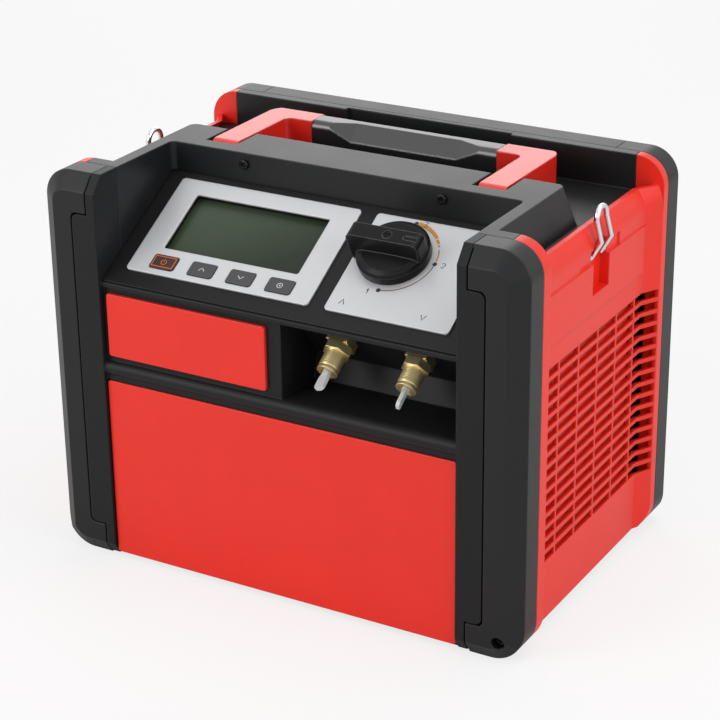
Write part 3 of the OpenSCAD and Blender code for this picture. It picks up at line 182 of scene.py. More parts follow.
grain_group = bpy.data.node_groups.new("moulded_grain", "ShaderNodeTree")
for name, kind, value in (
    ("Color", "NodeSocketColor", (0.5, 0.5, 0.5, 1.0)), ("Color Drift", "NodeSocketFloat", 0.06),
    ("Grain Scale", "NodeSocketFloat", 1400.0), ("Roughness", "NodeSocketFloat", 0.45),
    ("Roughness Drift", "NodeSocketFloat", 0.1),
):
    tree_socket(grain_group, name, kind, value)
for name, kind in (
    ("Color", "NodeSocketColor"), ("Roughness", "NodeSocketFloat"), ("Height", "NodeSocketFloat"),
):
    tree_socket(grain_group, name, kind, direction="OUTPUT")
g_in = grain_group.nodes.new("NodeGroupInput")
g_out = grain_group.nodes.new("NodeGroupOutput")
g_place = grain_group.nodes.new("ShaderNodeTexCoord")
g_fine = grain_group.nodes.new("ShaderNodeTexNoise")
g_fine.inputs["Detail"].default_value = 3.0
g_cloud = grain_group.nodes.new("ShaderNodeTexNoise")
g_cloud.inputs["Scale"].default_value = 22.0
g_cloud.inputs["Detail"].default_value = 4.0
g_shift = grain_group.nodes.new("ShaderNodeMath")
g_shift.operation = "SUBTRACT"
g_shift.inputs[1].default_value = 0.5
g_gain = grain_group.nodes.new("ShaderNodeMath")
g_gain.operation = "MULTIPLY"
g_one = grain_group.nodes.new("ShaderNodeMath")
g_one.operation = "ADD"
g_one.inputs[1].default_value = 1.0
g_tint = grain_group.nodes.new("ShaderNodeVectorMath")
g_tint.operation = "SCALE"
g_rough = grain_group.nodes.new("ShaderNodeMath")
g_rough.operation = "MULTIPLY_ADD"
link = grain_group.links.new
link(g_place.outputs["Object"], g_fine.inputs["Vector"])
link(g_place.outputs["Object"], g_cloud.inputs["Vector"])
link(g_in.outputs["Grain Scale"], g_fine.inputs["Scale"])
link(g_cloud.outputs["Fac"], g_shift.inputs[0])
link(g_shift.outputs[0], g_gain.inputs[0])
link(g_in.outputs["Color Drift"], g_gain.inputs[1])
link(g_gain.outputs[0], g_one.inputs[0])
link(g_in.outputs["Color"], g_tint.inputs[0])
link(g_one.outputs[0], g_tint.inputs["Scale"])
link(g_shift.outputs[0], g_rough.inputs[0])
link(g_in.outputs["Roughness Drift"], g_rough.inputs[1])
link(g_in.outputs["Roughness"], g_rough.inputs[2])
link(g_tint.outputs["Vector"], g_out.inputs["Color"])
link(g_rough.outputs[0], g_out.inputs["Roughness"])
link(g_fine.outputs["Fac"], g_out.inputs["Height"])
print("group:", grain_group.name, [s.name for s in grain_group.interface.items_tree])

# %% Group: soft edges, paled by wear and a painted highlight
edge_group = bpy.data.node_groups.new("soft_edges_wear_and_highlight", "ShaderNodeTree")
for name, kind, value in (
    ("Color", "NodeSocketColor", (0.5, 0.5, 0.5, 1.0)),
    ("Worn Lit Color", "NodeSocketColor", (0.6, 0.6, 0.6, 1.0)),
    ("Wear Highlight Amount", "NodeSocketFloat", 0.4), ("Radius", "NodeSocketFloat", 0.0012),
):
    tree_socket(edge_group, name, kind, value)
for name, kind in (("Color", "NodeSocketColor"), ("Normal", "NodeSocketVector")):
    tree_socket(edge_group, name, kind, direction="OUTPUT")
e_in = edge_group.nodes.new("NodeGroupInput")
e_out = edge_group.nodes.new("NodeGroupOutput")
e_bevel = edge_group.nodes.new("ShaderNodeBevel")
e_bevel.samples = 6
e_flat = edge_group.nodes.new("ShaderNodeNewGeometry")
e_dot = edge_group.nodes.new("ShaderNodeVectorMath")
e_dot.operation = "DOT_PRODUCT"
e_mask = edge_group.nodes.new("ShaderNodeMapRange")
# The cosine between the flat and the rounded normal: nearly 1 on a face, less at an edge.
e_mask.inputs["From Min"].default_value = 0.995
e_mask.inputs["From Max"].default_value = 0.86
e_amount = edge_group.nodes.new("ShaderNodeMath")
e_amount.operation = "MULTIPLY"
# The edge mask mixes in a paler colour: partly wear, partly a painted highlight where the edge catches the
# light.
e_mix = edge_group.nodes.new("ShaderNodeMix")
e_mix.data_type = "RGBA"
link = edge_group.links.new
link(e_in.outputs["Radius"], e_bevel.inputs["Radius"])
link(e_bevel.outputs["Normal"], e_dot.inputs[0])
link(e_flat.outputs["Normal"], e_dot.inputs[1])
link(e_dot.outputs["Value"], e_mask.inputs["Value"])
link(e_mask.outputs["Result"], e_amount.inputs[0])
link(e_in.outputs["Wear Highlight Amount"], e_amount.inputs[1])
link(e_amount.outputs[0], e_mix.inputs["Factor"])
link(e_in.outputs["Color"], e_mix.inputs["A"])
link(e_in.outputs["Worn Lit Color"], e_mix.inputs["B"])
link(e_mix.outputs["Result"], e_out.inputs["Color"])
link(e_bevel.outputs["Normal"], e_out.inputs["Normal"])
print("group:", edge_group.name, [s.name for s in edge_group.interface.items_tree])


# %% [markdown]
# ## Finishes
# Most of the machine is moulded plastic in two colours. One function lays the two groups
# into a material: grain first, then the edge paled by wear and a painted highlight, then the bump on top of
# the rounded normal.


# %% Moulded finishes
def moulded(name, color, rough, worn_and_lit, wear_and_highlight=0.35, radius=0.0012, grain=1400.0, bump=0.12, drift=0.08,
            metal=0.0, shine=0.5):
    """Moulded or painted finish: grain, colour drift, soft edges paled partly by wear and partly by a painted
    highlight.
    """
    material = bpy.data.materials.new(name)
    material.use_nodes = True
    tree = material.node_tree
    shader = tree.nodes["Principled BSDF"]
    shader.inputs["Metallic"].default_value = metal
    shader.inputs["Specular IOR Level"].default_value = shine
    grained = tree.nodes.new("ShaderNodeGroup")
    grained.node_tree = grain_group
    grained.inputs["Color"].default_value = (*color, 1.0)
    grained.inputs["Color Drift"].default_value = drift
    grained.inputs["Grain Scale"].default_value = grain
    grained.inputs["Roughness"].default_value = rough
    edged = tree.nodes.new("ShaderNodeGroup")
    edged.node_tree = edge_group
    edged.inputs["Worn Lit Color"].default_value = (*worn_and_lit, 1.0)
    edged.inputs["Wear Highlight Amount"].default_value = wear_and_highlight
    edged.inputs["Radius"].default_value = radius
    bumped = tree.nodes.new("ShaderNodeBump")
    bumped.inputs["Strength"].default_value = bump
    bumped.inputs["Distance"].default_value = 0.0002
    tree.links.new(grained.outputs["Color"], edged.inputs["Color"])
    tree.links.new(edged.outputs["Color"], shader.inputs["Base Color"])
    tree.links.new(grained.outputs["Roughness"], shader.inputs["Roughness"])
    tree.links.new(grained.outputs["Height"], bumped.inputs["Height"])
    tree.links.new(edged.outputs["Normal"], bumped.inputs["Normal"])
    tree.links.new(bumped.outputs["Normal"], shader.inputs["Normal"])
    return material


BLACK = (0.009, 0.0095, 0.0105)
RED = (0.81, 0.021, 0.008)
# Edge colours: partly wear, partly a painted highlight on edges that catch the light.
WORN_LIT_BLACK = (0.035, 0.036, 0.038)
WORN_LIT_RED = (0.82, 0.09, 0.06)
WORN_LIT_DARK = (0.03, 0.03, 0.03)
black_moulding = moulded("black_moulding", BLACK, 0.4, WORN_LIT_BLACK, radius=0.0016, shine=0.28)
fascia_moulding = moulded("fascia_moulding", (0.0115, 0.012, 0.013), 0.45, WORN_LIT_BLACK, radius=0.0016,
                          shine=0.17)
red_moulding = moulded("red_moulding", RED, 0.38, WORN_LIT_RED, radius=0.0014, shine=0.4)
handle_moulding = moulded("handle_moulding", (0.72, 0.018, 0.008), 0.3, WORN_LIT_RED, radius=0.0014, shine=1.0)
console_moulding = moulded("console_moulding", (0.005, 0.005, 0.0055), 0.5, WORN_LIT_DARK, shine=0.25)
grip_rubber = moulded("grip_rubber", (0.009, 0.009, 0.0095), 0.28, WORN_LIT_DARK, radius=0.002, grain=900.0,
                      shine=1.0)
knob_moulding = moulded("knob_moulding", (0.008, 0.008, 0.009), 0.3, (0.14, 0.14, 0.145), wear_and_highlight=0.7,
                        bump=0.05, shine=0.14)
key_moulding = moulded("key_moulding", (0.05, 0.05, 0.053), 0.42, (0.12, 0.12, 0.12), radius=0.0008)
power_key_moulding = moulded("power_key_moulding", (0.035, 0.019, 0.015), 0.42, (0.1, 0.07, 0.06),
                             radius=0.0008)
silver_film = moulded("silver_film", (0.63, 0.635, 0.65), 0.36, (0.75, 0.75, 0.76), grain=3000.0, bump=0.06,
                      drift=0.04, metal=0.25)
inlet_moulding = moulded("inlet_moulding", (0.012, 0.012, 0.013), 0.32, (0.06, 0.06, 0.06), bump=0.05)
motor_paint = moulded("motor_paint", (0.045, 0.06, 0.08), 0.4, (0.2, 0.22, 0.25))
cast_alloy = moulded("cast_alloy", (0.42, 0.43, 0.45), 0.5, (0.6, 0.6, 0.62), metal=0.9, bump=0.3)
board_varnish = moulded("board_varnish", (0.02, 0.13, 0.05), 0.3, (0.1, 0.25, 0.15), bump=0.05)
mount_rubber = moulded("mount_rubber", (0.012, 0.012, 0.012), 0.7, WORN_LIT_DARK)
copper_tube = moulded("copper_tube", (0.6, 0.27, 0.13), 0.28, (0.75, 0.42, 0.26), metal=1.0, bump=0.04)
# The pale gold at the brass edges is partly wear and partly a painted highlight.
turned_brass = moulded("turned_brass", (0.88, 0.72, 0.36), 0.34, (1.0, 0.93, 0.7), wear_and_highlight=0.6, radius=0.0006,
                       bump=0.05, drift=0.2, metal=0.85)
bright_steel = moulded("bright_steel", (0.72, 0.73, 0.75), 0.16, (0.85, 0.85, 0.87), radius=0.0006, bump=0.03,
                       metal=1.0)
zinc_sheet = moulded("zinc_sheet", (0.5, 0.51, 0.53), 0.38, (0.65, 0.65, 0.66), bump=0.08, drift=0.2,
                     metal=1.0)
print("finishes:", len(bpy.data.materials))

# %% [markdown]
# ## The display
# A liquid crystal glass is dark green. Its base colour carries a painted reflection that turns it paler
# grey-green across one part.
# The module lies under a clear pane. The painted reflection runs across the glass on Object coordinates,
# so it stays with the machine when the camera moves.

# %% Liquid crystal and pane
lcd = bpy.data.materials.new("liquid_crystal")
lcd.use_nodes = True
lcd_tree = lcd.node_tree
lcd_shader = lcd_tree.nodes["Principled BSDF"]
lcd_shader.inputs["Roughness"].default_value = 0.35
lcd_place = lcd_tree.nodes.new("ShaderNodeTexCoord")
lcd_shift = lcd_tree.nodes.new("ShaderNodeMapping")
display_middle = Vector((-0.0565, -0.076, 0.0))
lcd_shift.inputs["Location"].default_value = -display_middle
lcd_split = lcd_tree.nodes.new("ShaderNodeSeparateXYZ")
lcd_reflection_run = lcd_tree.nodes.new("ShaderNodeMath")
lcd_reflection_run.operation = "MULTIPLY_ADD"
lcd_reflection_slant = -0.6
lcd_reflection_run.inputs[1].default_value = lcd_reflection_slant
lcd_reflection_range = lcd_tree.nodes.new("ShaderNodeMapRange")
lcd_reflection_range.inputs["From Min"].default_value = -0.03
lcd_reflection_range.inputs["From Max"].default_value = 0.045
# Painted reflection: the glass colour runs from dark green to a paler grey-green across its face.
lcd_painted_reflection = lcd_tree.nodes.new("ShaderNodeMix")
lcd_painted_reflection.data_type = "RGBA"
lcd_painted_reflection.inputs["A"].default_value = (0.001, 0.016, 0.001, 1.0)
lcd_painted_reflection.inputs["B"].default_value = (0.1, 0.15, 0.08, 1.0)
lcd_tree.links.new(lcd_place.outputs["Object"], lcd_shift.inputs["Vector"])
lcd_tree.links.new(lcd_shift.outputs["Vector"], lcd_split.inputs["Vector"])
lcd_tree.links.new(lcd_split.outputs["X"], lcd_reflection_run.inputs[0])
lcd_tree.links.new(lcd_split.outputs["Y"], lcd_reflection_run.inputs[2])
lcd_tree.links.new(lcd_reflection_run.outputs[0], lcd_reflection_range.inputs["Value"])
lcd_tree.links.new(lcd_reflection_range.outputs["Result"], lcd_painted_reflection.inputs["Factor"])
lcd_tree.links.new(lcd_painted_reflection.outputs["Result"], lcd_shader.inputs["Base Color"])

pane = bpy.data.materials.new("clear_pane")
pane.use_nodes = True
pane_shader = pane.node_tree.nodes["Principled BSDF"]
pane_shader.inputs["Base Color"].default_value = (0.05, 0.06, 0.045, 1.0)
pane_shader.inputs["Roughness"].default_value = 0.12
pane_shader.inputs["Specular IOR Level"].default_value = 0.3
pane_shader.inputs["Alpha"].default_value = 0.3
print("display finishes:", lcd.name, pane.name)

# %% [markdown]
# ## Transport plugs
# The fittings leave the works with soft milky plugs. Light enters such a plastic and comes out again
# nearby, which is what subsurface weight does; a little transmission makes the thin tab glow.

# %% Milky plastic
milky = bpy.data.materials.new("milky_plug")
milky.use_nodes = True
milky_shader = milky.node_tree.nodes["Principled BSDF"]
milky_shader.inputs["Subsurface Weight"].default_value = 0.4
milky_shader.inputs["Subsurface Radius"].default_value = (0.004, 0.004, 0.004)
milky_shader.inputs["Transmission Weight"].default_value = 0.25
milky_cloud = milky.node_tree.nodes.new("ShaderNodeGroup")
milky_cloud.node_tree = grain_group
milky_cloud.inputs["Color"].default_value = (0.8, 0.82, 0.83, 1.0)
milky_cloud.inputs["Roughness"].default_value = 0.3
milky.node_tree.links.new(milky_cloud.outputs["Color"], milky_shader.inputs["Base Color"])
milky.node_tree.links.new(milky_cloud.outputs["Roughness"], milky_shader.inputs["Roughness"])
print("plug finish:", milky.name)

# %% [markdown]
# ## Dress the solids
# Every solid keeps its shape and takes the finish of the real piece.

# %% Finishes on the solids
dressed = {
    black_moulding: ("bumper_front_left", "bumper_front_right", "bumper_rear_left", "bumper_rear_right",
                     "rear_panel", "top_cover"),
    fascia_moulding: ("front_fascia",),
    red_moulding: ("lower_front_panel", "label_plate", "side_panel_left", "side_panel_right"),
    handle_moulding: ("carry_handle",),
    console_moulding: ("console_bed",),
    silver_film: ("display_bezel", "valve_plate"),
    pane: ("display_window",),
    lcd: ("display_module",),
    key_moulding: ("key_1", "key_2", "key_3"),
    power_key_moulding: ("key_power",),
    knob_moulding: ("selector_knob", "fan_frame", "fan_rotor"),
    bright_steel: ("selector_stem", "pressure_sensors", "hinge_pins", "strap_loop_left",
                   "strap_loop_right"),
    zinc_sheet: ("base_pan",),
    turned_brass: ("inlet_fitting", "outlet_fitting", "inlet_filter"),
    milky: ("inlet_plug", "outlet_plug"),
    grip_rubber: ("handle_grip",),
    motor_paint: ("motor",),
    cast_alloy: ("crankcase", "cylinders", "cylinder_heads", "valve_manifold", "condenser_coil"),
    mount_rubber: ("rubber_mounts",),
    copper_tube: ("pipes",),
    board_varnish: ("key_board", "control_board"),
    inlet_moulding: ("mains_inlet", "switch_frame", "switch_rocker"),
}
left_bare = set(nodes)
for material, names in dressed.items():
    for name in names:
        mesh = nodes[name].data
        mesh.materials.clear()
        mesh.materials.append(material)
        left_bare.discard(name)
print("solids without a finish:", sorted(left_bare))

# %% [markdown]
# ## Where things sit
# The console is a plane that leans back. Marks and keys are easiest to place in its own measures:
# x across, s up the slope and n out of the face. One function turns these into places in the frame.
# The two fittings lean down in the same manner, so they get an axis of their own.

# %% Places on the console and on the fittings
CONSOLE_Y, CONSOLE_Z, CONSOLE_LEAN = -133.0, 232.0, math.radians(30)
PLATE_T = 1.6
FITTING_X, FITTING_Y, FITTING_Z, FITTING_LEAN = (38.0, 102.3), -97.0, 209.6, math.radians(35)
fitting_axis = Vector((0.0, -math.cos(FITTING_LEAN), -math.sin(FITTING_LEAN)))


def on_console(x, s, n):
    """Place in metres of a point given in millimetres on the console."""
    lean, rise = math.cos(CONSOLE_LEAN), math.sin(CONSOLE_LEAN)
    return Vector((x, CONSOLE_Y + s * lean - n * rise, CONSOLE_Z + s * rise + n * lean)) * MM


def on_fitting(i, out):
    """Place in metres on the axis of fitting i, out millimetres from its seat."""
    return (Vector((FITTING_X[i], FITTING_Y, FITTING_Z)) + out * fitting_axis) * MM


DIAL_X, DIAL_S, DIAL_R = 66.5, 71.0, 32.2
print("selector stands at", [round(v, 4) for v in on_console(DIAL_X, DIAL_S, PLATE_T)])

# %% [markdown]
# ## Printed marks
# The scale round the selector is screen print: three stops, a wedge that swells towards the open side
# and a fine line to the last stop. Print is a film a few hundredths of a millimetre thick.
# Each mark is a flat outline pushed up into a thin plate, so that it shows from every side
# and is real geometry.


# %% Helper: printed film
PRINT_LOW, PRINT_HIGH = PLATE_T + 0.004, PLATE_T + 0.06


def film(name, outlines, material, body, n_low=PRINT_LOW, n_high=PRINT_HIGH):
    """Thin plates on the console from outlines of (x, s) points in order."""
    shape = bmesh.new()
    for outline in outlines:
        low = [shape.verts.new(on_console(x, s, n_low)) for x, s in outline]
        high = [shape.verts.new(on_console(x, s, n_high)) for x, s in outline]
        count = len(outline)
        shape.faces.new(high)
        shape.faces.new(list(reversed(low)))
        for i in range(count):
            j = (i + 1) % count
            shape.faces.new((low[i], low[j], high[j], high[i]))
    bmesh.ops.recalc_face_normals(shape, faces=shape.faces)
    mesh = bpy.data.meshes.new(name)
    shape.to_mesh(mesh)
    shape.free()
    mesh.materials.append(material)
    piece = bpy.data.objects.new(name, mesh)
    scene.collection.objects.link(piece)
    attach(piece, body)
    print(name, "faces:", len(mesh.polygons))
    return piece


def around(x, s, radius, angle):
    """The point at an angle in radians on a circle round (x, s)."""
    return x + radius * math.cos(angle), s + radius * math.sin(angle)


def disc(x, s, radius, sides=20):
    return [around(x, s, radius, 2 * math.pi * i / sides) for i in range(sides)]


def arc(x, s, radius, start, end, width_start, width_end, steps=24):
    """Band round (x, s) between two angles in degrees, its width running from one value to the other."""
    outer, inner = [], []
    for i in range(steps + 1):
        t = i / steps
        angle = math.radians(start + (end - start) * t)
        half = (width_start + (width_end - width_start) * t) / 2
        outer.append(around(x, s, radius + half, angle))
        inner.append(around(x, s, radius - half, angle))
    return outer + inner[::-1]


def stroke(points, width):
    """A band of the given width along a few points."""
    left, right_side = [], []
    for i, p in enumerate(points):
        before = Vector(points[max(i - 1, 0)])
        after = Vector(points[min(i + 1, len(points) - 1)])
        along = (after - before).normalized()
        across = Vector((-along.y, along.x)) * width / 2
        left.append(tuple(Vector(p) + across))
        right_side.append(tuple(Vector(p) - across))
    return left + right_side[::-1]


# %% Inks
def ink(name, color):
    return moulded(name, color, 0.45, color, wear_and_highlight=0.0, radius=0.0002, grain=2500.0, bump=0.02, drift=0.12)


dark_ink = ink("dark_ink", (0.018, 0.018, 0.02))
amber_ink = ink("amber_ink", (0.62, 0.27, 0.035))
line_ink = ink("line_ink", (0.2, 0.1, 0.04))
pale_ink = ink("pale_ink", (0.62, 0.62, 0.63))
orange_ink = ink("orange_ink", (0.72, 0.13, 0.03))

# %% Scale of the selector
STOP_ANGLES = (86.0, -1.0, -87.0)
DOT_R, DOT_HIGH = 1.75, PLATE_T + 0.08
stop_dots = [disc(*around(DIAL_X, DIAL_S, DIAL_R, math.radians(a)), DOT_R) for a in STOP_ANGLES]
film("stop_dots", stop_dots, dark_ink, "case", n_high=DOT_HIGH)
# Each band has its two angles in degrees and its width at both.
wedge = [
    arc(DIAL_X, DIAL_S, DIAL_R + 0.2, 82.5, 43.0, 3.8, 2.5),
    arc(DIAL_X, DIAL_S, DIAL_R, 41.0, 33.0, 2.3, 1.9, 6),
    arc(DIAL_X, DIAL_S, DIAL_R, 31.0, 27.5, 1.7, 1.5, 4),
    arc(DIAL_X, DIAL_S, DIAL_R, 23.0, 3.0, 1.1, 0.9, 12),
]
film("opening_wedge", wedge, amber_ink, "case")
flush_arc = arc(DIAL_X, DIAL_S, DIAL_R, -4.5, -83.5, 0.8, 0.8)
film("flush_line", [flush_arc], line_ink, "case")

# %% Flow arrows and numerals
arrow_w = 0.7
arrows = [
    stroke([(44.6, 21.0), (46.6, 25.4), (48.6, 21.0)], arrow_w),
    stroke([(109.0, 25.4), (111.0, 21.0), (113.0, 25.4)], arrow_w),
]
numeral_w, numeral_h, numeral_line = 2.6, 4.4, 0.6


def numeral(digit, x, s):
    """Plain stroke numeral with its middle at (x, s)."""
    w, h = numeral_w / 2, numeral_h / 2
    line = {
        1: [(-w / 2, h * 0.55), (w * 0.15, h), (w * 0.15, -h)],
        2: [(-w, h * 0.6), (-w * 0.5, h), (w * 0.5, h), (w, h * 0.55), (w, h * 0.2), (-w, -h), (w, -h)],
        3: [(-w, h), (w, h), (-w * 0.1, h * 0.12), (w, -h * 0.3), (w * 0.6, -h), (-w * 0.5, -h),
            (-w, -h * 0.7)],
    }[digit]
    return stroke([(x + px, s + ps) for px, ps in line], numeral_line)


numerals = [numeral(3, 76.5, 103.5), numeral(2, 105.5, 70.4), numeral(1, 60.5, 36.5)]
film("plate_marks", arrows + numerals, dark_ink, "case")

# %% [markdown]
# ## Keys
# The first key switches the machine: its frame and its sign are orange. The others carry small pale signs.
# The signs are print on the key's top, so they ride on the key and sink with it when it is pressed.

# %% Key frame and signs
KEY_S, KEY_TOP = 25.4, PLATE_T + 0.8
KEY_X = [-106.75 + 33.5 * i for i in range(4)]
key_bodies = ("power_key", "key_a", "key_b", "key_c")
sign_low, sign_high = KEY_TOP - 0.004, KEY_TOP + 0.05


def frame_bands(x, s, w, h, t):
    """Four bands that frame a rectangle."""
    def rect(x0, s0, x1, s1):
        return [(x0, s0), (x1, s0), (x1, s1), (x0, s1)]
    left, right_side, low, high = x - w / 2, x + w / 2, s - h / 2, s + h / 2
    return [rect(left, low, right_side, low + t), rect(left, high - t, right_side, high),
            rect(left, low + t, left + t, high - t), rect(right_side - t, low + t, right_side, high - t)]


FRAME_W, FRAME_H, FRAME_T, SIGN_T, HOOK_T = 18.6, 10.2, 0.7, 0.6, 0.7
power_bands = frame_bands(KEY_X[0], KEY_S, FRAME_W, FRAME_H, FRAME_T)
film("power_key_frame", power_bands, orange_ink, "power_key", sign_low, sign_high)
power_sign = [
    arc(KEY_X[0], KEY_S - 0.3, 2.2, 125.0, 415.0, SIGN_T, SIGN_T, 28),
    stroke([(KEY_X[0], KEY_S + 0.2), (KEY_X[0], KEY_S + 2.8)], SIGN_T),
]
film("power_key_sign", power_sign, orange_ink, "power_key", sign_low, sign_high)


def hook(x, s, rise):
    """A sign that points up, or down where the rise is negative."""
    half, foot, tip = 2.4, s - 1.2 * rise, s + 1.4 * rise
    return stroke([(x - half, foot), (x, tip), (x + half, foot)], HOOK_T)


signs = (
    [hook(KEY_X[1], KEY_S, 1)],
    [hook(KEY_X[2], KEY_S, -1)],
    [arc(KEY_X[3], KEY_S, 2.1, 0.0, 359.0, SIGN_T, SIGN_T, 24), disc(KEY_X[3], KEY_S, 0.7, 10)],
)
for i, outlines in enumerate(signs, start=1):
    film("key_sign_%d" % i, outlines, pale_ink, key_bodies[i], sign_low, sign_high)

# %% [markdown]
# ## Screws
# Socket screws hold the deck wall, the connection recess, three of the bumpers, the rear panel and the base.
# They are all one shape in many places, which is a job for Geometry Nodes: the tree takes points that
# carry a direction, stands a head on each of them and makes the result one plain mesh.


# %% Tree helper
def run_tree(name, tree, points, facing, values):
    """Evaluates a tree on points with directions and returns a plain mesh object."""
    mesh = bpy.data.meshes.new(name + "_points")
    mesh.from_pydata([tuple(p) for p in points], [], [])
    attribute = mesh.attributes.new("facing", "FLOAT_VECTOR", "POINT")
    for i, direction in enumerate(facing):
        attribute.data[i].vector = direction
    carrier = bpy.data.objects.new(name + "_points", mesh)
    scene.collection.objects.link(carrier)
    modifier = carrier.modifiers.new("tree", "NODES")
    modifier.node_group = tree
    for item in tree.interface.items_tree:
        if item.item_type == "SOCKET" and item.in_out == "INPUT" and item.name in values:
            modifier[item.identifier] = values[item.name]
    carrier.update_tag()
    graph = bpy.context.evaluated_depsgraph_get()
    result = bpy.data.meshes.new_from_object(carrier.evaluated_get(graph), depsgraph=graph)
    result.name = name
    carrier.modifiers.remove(modifier)
    bpy.data.objects.remove(carrier)
    bpy.data.meshes.remove(mesh)
    for extra in [a.name for a in result.attributes if a.name == "facing"]:
        result.attributes.remove(result.attributes[extra])
    piece = bpy.data.objects.new(name, result)
    scene.collection.objects.link(piece)
    print(name, "faces:", len(result.polygons))
    return piece


# %% One socket head
def ring_mesh(name, rings, sides=24):
    """Closed mesh from rings of (radius or function of the angle, height), capped at both ends."""
    shape = bmesh.new()
    loops = []
    for radius, height in rings:
        loop = []
        for i in range(sides):
            a = 2 * math.pi * i / sides
            r = radius(a) if callable(radius) else radius
            loop.append(shape.verts.new((r * math.cos(a), r * math.sin(a), height)))
        loops.append(loop)
    for lower, upper in zip(loops, loops[1:]):
        for i in range(sides):
            j = (i + 1) % sides
            shape.faces.new((lower[i], lower[j], upper[j], upper[i]))
    shape.faces.new(list(reversed(loops[0])))
    shape.faces.new(loops[-1])
    bmesh.ops.recalc_face_normals(shape, faces=shape.faces)
    mesh = bpy.data.meshes.new(name)
    shape.to_mesh(mesh)
    shape.free()
    return mesh


def hexagon(flat):
    """Radius of a hexagon of the given half width across flats, at an angle."""
    return lambda a: flat / math.cos((a + math.pi / 6) % (math.pi / 3) - math.pi / 6)


socket_r = 0.42
head_mesh = ring_mesh("socket_head", [
    (0.96, 0.0), (1.0, 0.06), (1.0, 0.5), (0.9, 0.62), (0.74, 0.66), (hexagon(socket_r + 0.05), 0.66),
    (hexagon(socket_r), 0.6), (hexagon(socket_r), 0.2)])
head = bpy.data.objects.new("socket_head", head_mesh)
print("head faces:", len(head_mesh.polygons))

# %% Tree: heads on points
heads_tree = bpy.data.node_groups.new("heads_on_points", "GeometryNodeTree")
tree_socket(heads_tree, "Geometry", "NodeSocketGeometry")
tree_socket(heads_tree, "Head", "NodeSocketObject")
tree_socket(heads_tree, "Head Radius", "NodeSocketFloat", 0.004)
tree_socket(heads_tree, "Finish", "NodeSocketMaterial")
tree_socket(heads_tree, "Geometry", "NodeSocketGeometry", direction="OUTPUT")
h_in = heads_tree.nodes.new("NodeGroupInput")
h_out = heads_tree.nodes.new("NodeGroupOutput")
h_head = heads_tree.nodes.new("GeometryNodeObjectInfo")
h_facing = heads_tree.nodes.new("GeometryNodeInputNamedAttribute")
h_facing.data_type = "FLOAT_VECTOR"
h_facing.inputs["Name"].default_value = "facing"
h_align = heads_tree.nodes.new("FunctionNodeAlignRotationToVector")
h_align.axis = "Z"
h_stand = heads_tree.nodes.new("GeometryNodeInstanceOnPoints")
h_real = heads_tree.nodes.new("GeometryNodeRealizeInstances")
h_paint = heads_tree.nodes.new("GeometryNodeSetMaterial")
link = heads_tree.links.new
link(h_in.outputs["Head"], h_head.inputs["Object"])
link(h_in.outputs["Geometry"], h_stand.inputs["Points"])
link(h_head.outputs["Geometry"], h_stand.inputs["Instance"])
link(h_facing.outputs["Attribute"], h_align.inputs["Vector"])
link(h_align.outputs["Rotation"], h_stand.inputs["Rotation"])
link(h_in.outputs["Head Radius"], h_stand.inputs["Scale"])
link(h_stand.outputs["Instances"], h_real.inputs["Geometry"])
link(h_real.outputs["Geometry"], h_paint.inputs["Geometry"])
link(h_in.outputs["Finish"], h_paint.inputs["Material"])
link(h_paint.outputs["Geometry"], h_out.inputs["Geometry"])
print("tree:", heads_tree.name, "nodes:", len(heads_tree.nodes))

# %% Screws in place
FORWARD, REARWARD, DOWN = Vector((0, -1, 0)), Vector((0, 1, 0)), Vector((0, 0, -1))
screw_steel = moulded("blackened_steel", (0.012, 0.012, 0.013), 0.24, (0.12, 0.12, 0.13), radius=0.0004,
                      bump=0.03, metal=0.7)


def screws(name, points_mm, facing, head_r):
    """Socket screws with one head radius at points, in millimetres, each facing its own way."""
    piece = run_tree(name, heads_tree, [Vector(p) * MM for p in points_mm], facing,
                     {"Head": head, "Head Radius": head_r * MM, "Finish": screw_steel})
    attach(piece, "case")
    return piece


deck_x, deck_wall_y, deck_z = 84.0, -34.0, 303.0
screws("deck_screws", [(x, deck_wall_y, deck_z) for x in (-deck_x, deck_x)], [FORWARD] * 2, head_r=3.9)
bumper_x, bumper_floor, bumper_z = 183.5, 129.0, 17.2
bumper_signs = ((1, -1), (1, 1), (-1, 1))
screws("bumper_screws", [(sx * bumper_x, sy * bumper_floor, bumper_z) for sx, sy in bumper_signs],
       [FORWARD, REARWARD, REARWARD], head_r=4.4)
recess_x, recess_up = 71.5, 12.0
recess_y = FITTING_Y - recess_up * math.sin(FITTING_LEAN)
recess_z = FITTING_Z + recess_up * math.cos(FITTING_LEAN)
screws("recess_screw", [(recess_x, recess_y, recess_z)], [fitting_axis], head_r=3.8)
rear_x, rear_y, rear_z = (-138.0, 0.0, 138.0), 131.0, (18.0, 280.0)
screws("rear_screws", [(x, rear_y, z) for x in rear_x for z in rear_z], [REARWARD] * 6, head_r=3.6)
pan_x, pan_y, pan_under = (-122.0, 17.0), (-33.0, 33.0), 9.0
screws("pan_screws", [(x, y, pan_under) for x in pan_x for y in pan_y], [DOWN] * 4, head_r=4.6)

# %% [markdown]
# ## Threads
# The hose nut screws onto a fine thread on each brass barrel. A thread is a wire wound on a cylinder:
# a spiral curve with a small profile. Its run ends in the metal at both ends. A bump map would leave no trace
# of it in the mesh, so it is real geometry, wound by a second tree.

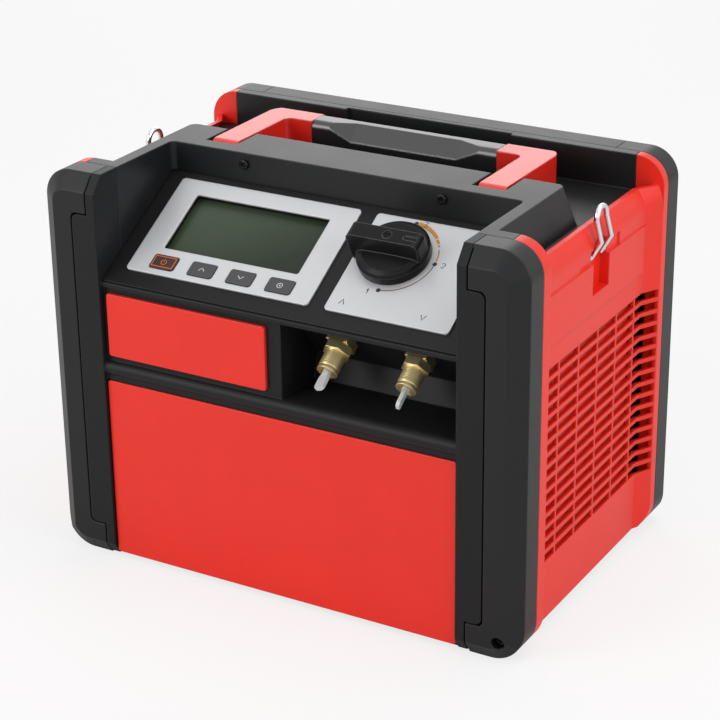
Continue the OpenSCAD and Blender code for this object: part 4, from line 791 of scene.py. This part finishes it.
# %% Tree: wound thread
thread_tree = bpy.data.node_groups.new("wound_thread", "GeometryNodeTree")
tree_socket(thread_tree, "Geometry", "NodeSocketGeometry")
for name, value in (("Radius", 0.0079), ("Pitch", 0.00141), ("Length", 0.012), ("Wire", 0.0005)):
    tree_socket(thread_tree, name, "NodeSocketFloat", value)
tree_socket(thread_tree, "Finish", "NodeSocketMaterial")
tree_socket(thread_tree, "Geometry", "NodeSocketGeometry", direction="OUTPUT")
t_in = thread_tree.nodes.new("NodeGroupInput")
t_out = thread_tree.nodes.new("NodeGroupOutput")
t_turns = thread_tree.nodes.new("ShaderNodeMath")
t_turns.operation = "DIVIDE"
t_wind = thread_tree.nodes.new("GeometryNodeCurveSpiral")
t_wind.inputs["Resolution"].default_value = 40
t_ring = thread_tree.nodes.new("GeometryNodeCurvePrimitiveCircle")
t_ring.inputs["Resolution"].default_value = 6
t_sweep = thread_tree.nodes.new("GeometryNodeCurveToMesh")
t_sweep.inputs["Fill Caps"].default_value = True
t_facing = thread_tree.nodes.new("GeometryNodeInputNamedAttribute")
t_facing.data_type = "FLOAT_VECTOR"
t_facing.inputs["Name"].default_value = "facing"
t_align = thread_tree.nodes.new("FunctionNodeAlignRotationToVector")
t_align.axis = "Z"
t_stand = thread_tree.nodes.new("GeometryNodeInstanceOnPoints")
t_real = thread_tree.nodes.new("GeometryNodeRealizeInstances")
t_paint = thread_tree.nodes.new("GeometryNodeSetMaterial")
link = thread_tree.links.new
link(t_in.outputs["Length"], t_turns.inputs[0])
link(t_in.outputs["Pitch"], t_turns.inputs[1])
link(t_turns.outputs[0], t_wind.inputs["Rotations"])
link(t_in.outputs["Radius"], t_wind.inputs["Start Radius"])
link(t_in.outputs["Radius"], t_wind.inputs["End Radius"])
link(t_in.outputs["Length"], t_wind.inputs["Height"])
link(t_in.outputs["Wire"], t_ring.inputs["Radius"])
link(t_wind.outputs["Curve"], t_sweep.inputs["Curve"])
link(t_ring.outputs["Curve"], t_sweep.inputs["Profile Curve"])
link(t_in.outputs["Geometry"], t_stand.inputs["Points"])
link(t_sweep.outputs["Mesh"], t_stand.inputs["Instance"])
link(t_facing.outputs["Attribute"], t_align.inputs["Vector"])
link(t_align.outputs["Rotation"], t_stand.inputs["Rotation"])
link(t_stand.outputs["Instances"], t_real.inputs["Geometry"])
link(t_real.outputs["Geometry"], t_paint.inputs["Geometry"])
link(t_in.outputs["Finish"], t_paint.inputs["Material"])
link(t_paint.outputs["Geometry"], t_out.inputs["Geometry"])
print("tree:", thread_tree.name, "nodes:", len(thread_tree.nodes))

# %% Threads in place
thread_start = 15.6
thread_mm = {"Radius": 7.72, "Pitch": 1.41, "Length": 11.4, "Wire": 0.42}
thread_values = {name: value * MM for name, value in thread_mm.items()}
threads = run_tree("flare_threads", thread_tree, [on_fitting(i, thread_start) for i in (0, 1)],
                   [fitting_axis] * 2, {**thread_values, "Finish": turned_brass})
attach(threads, "case")
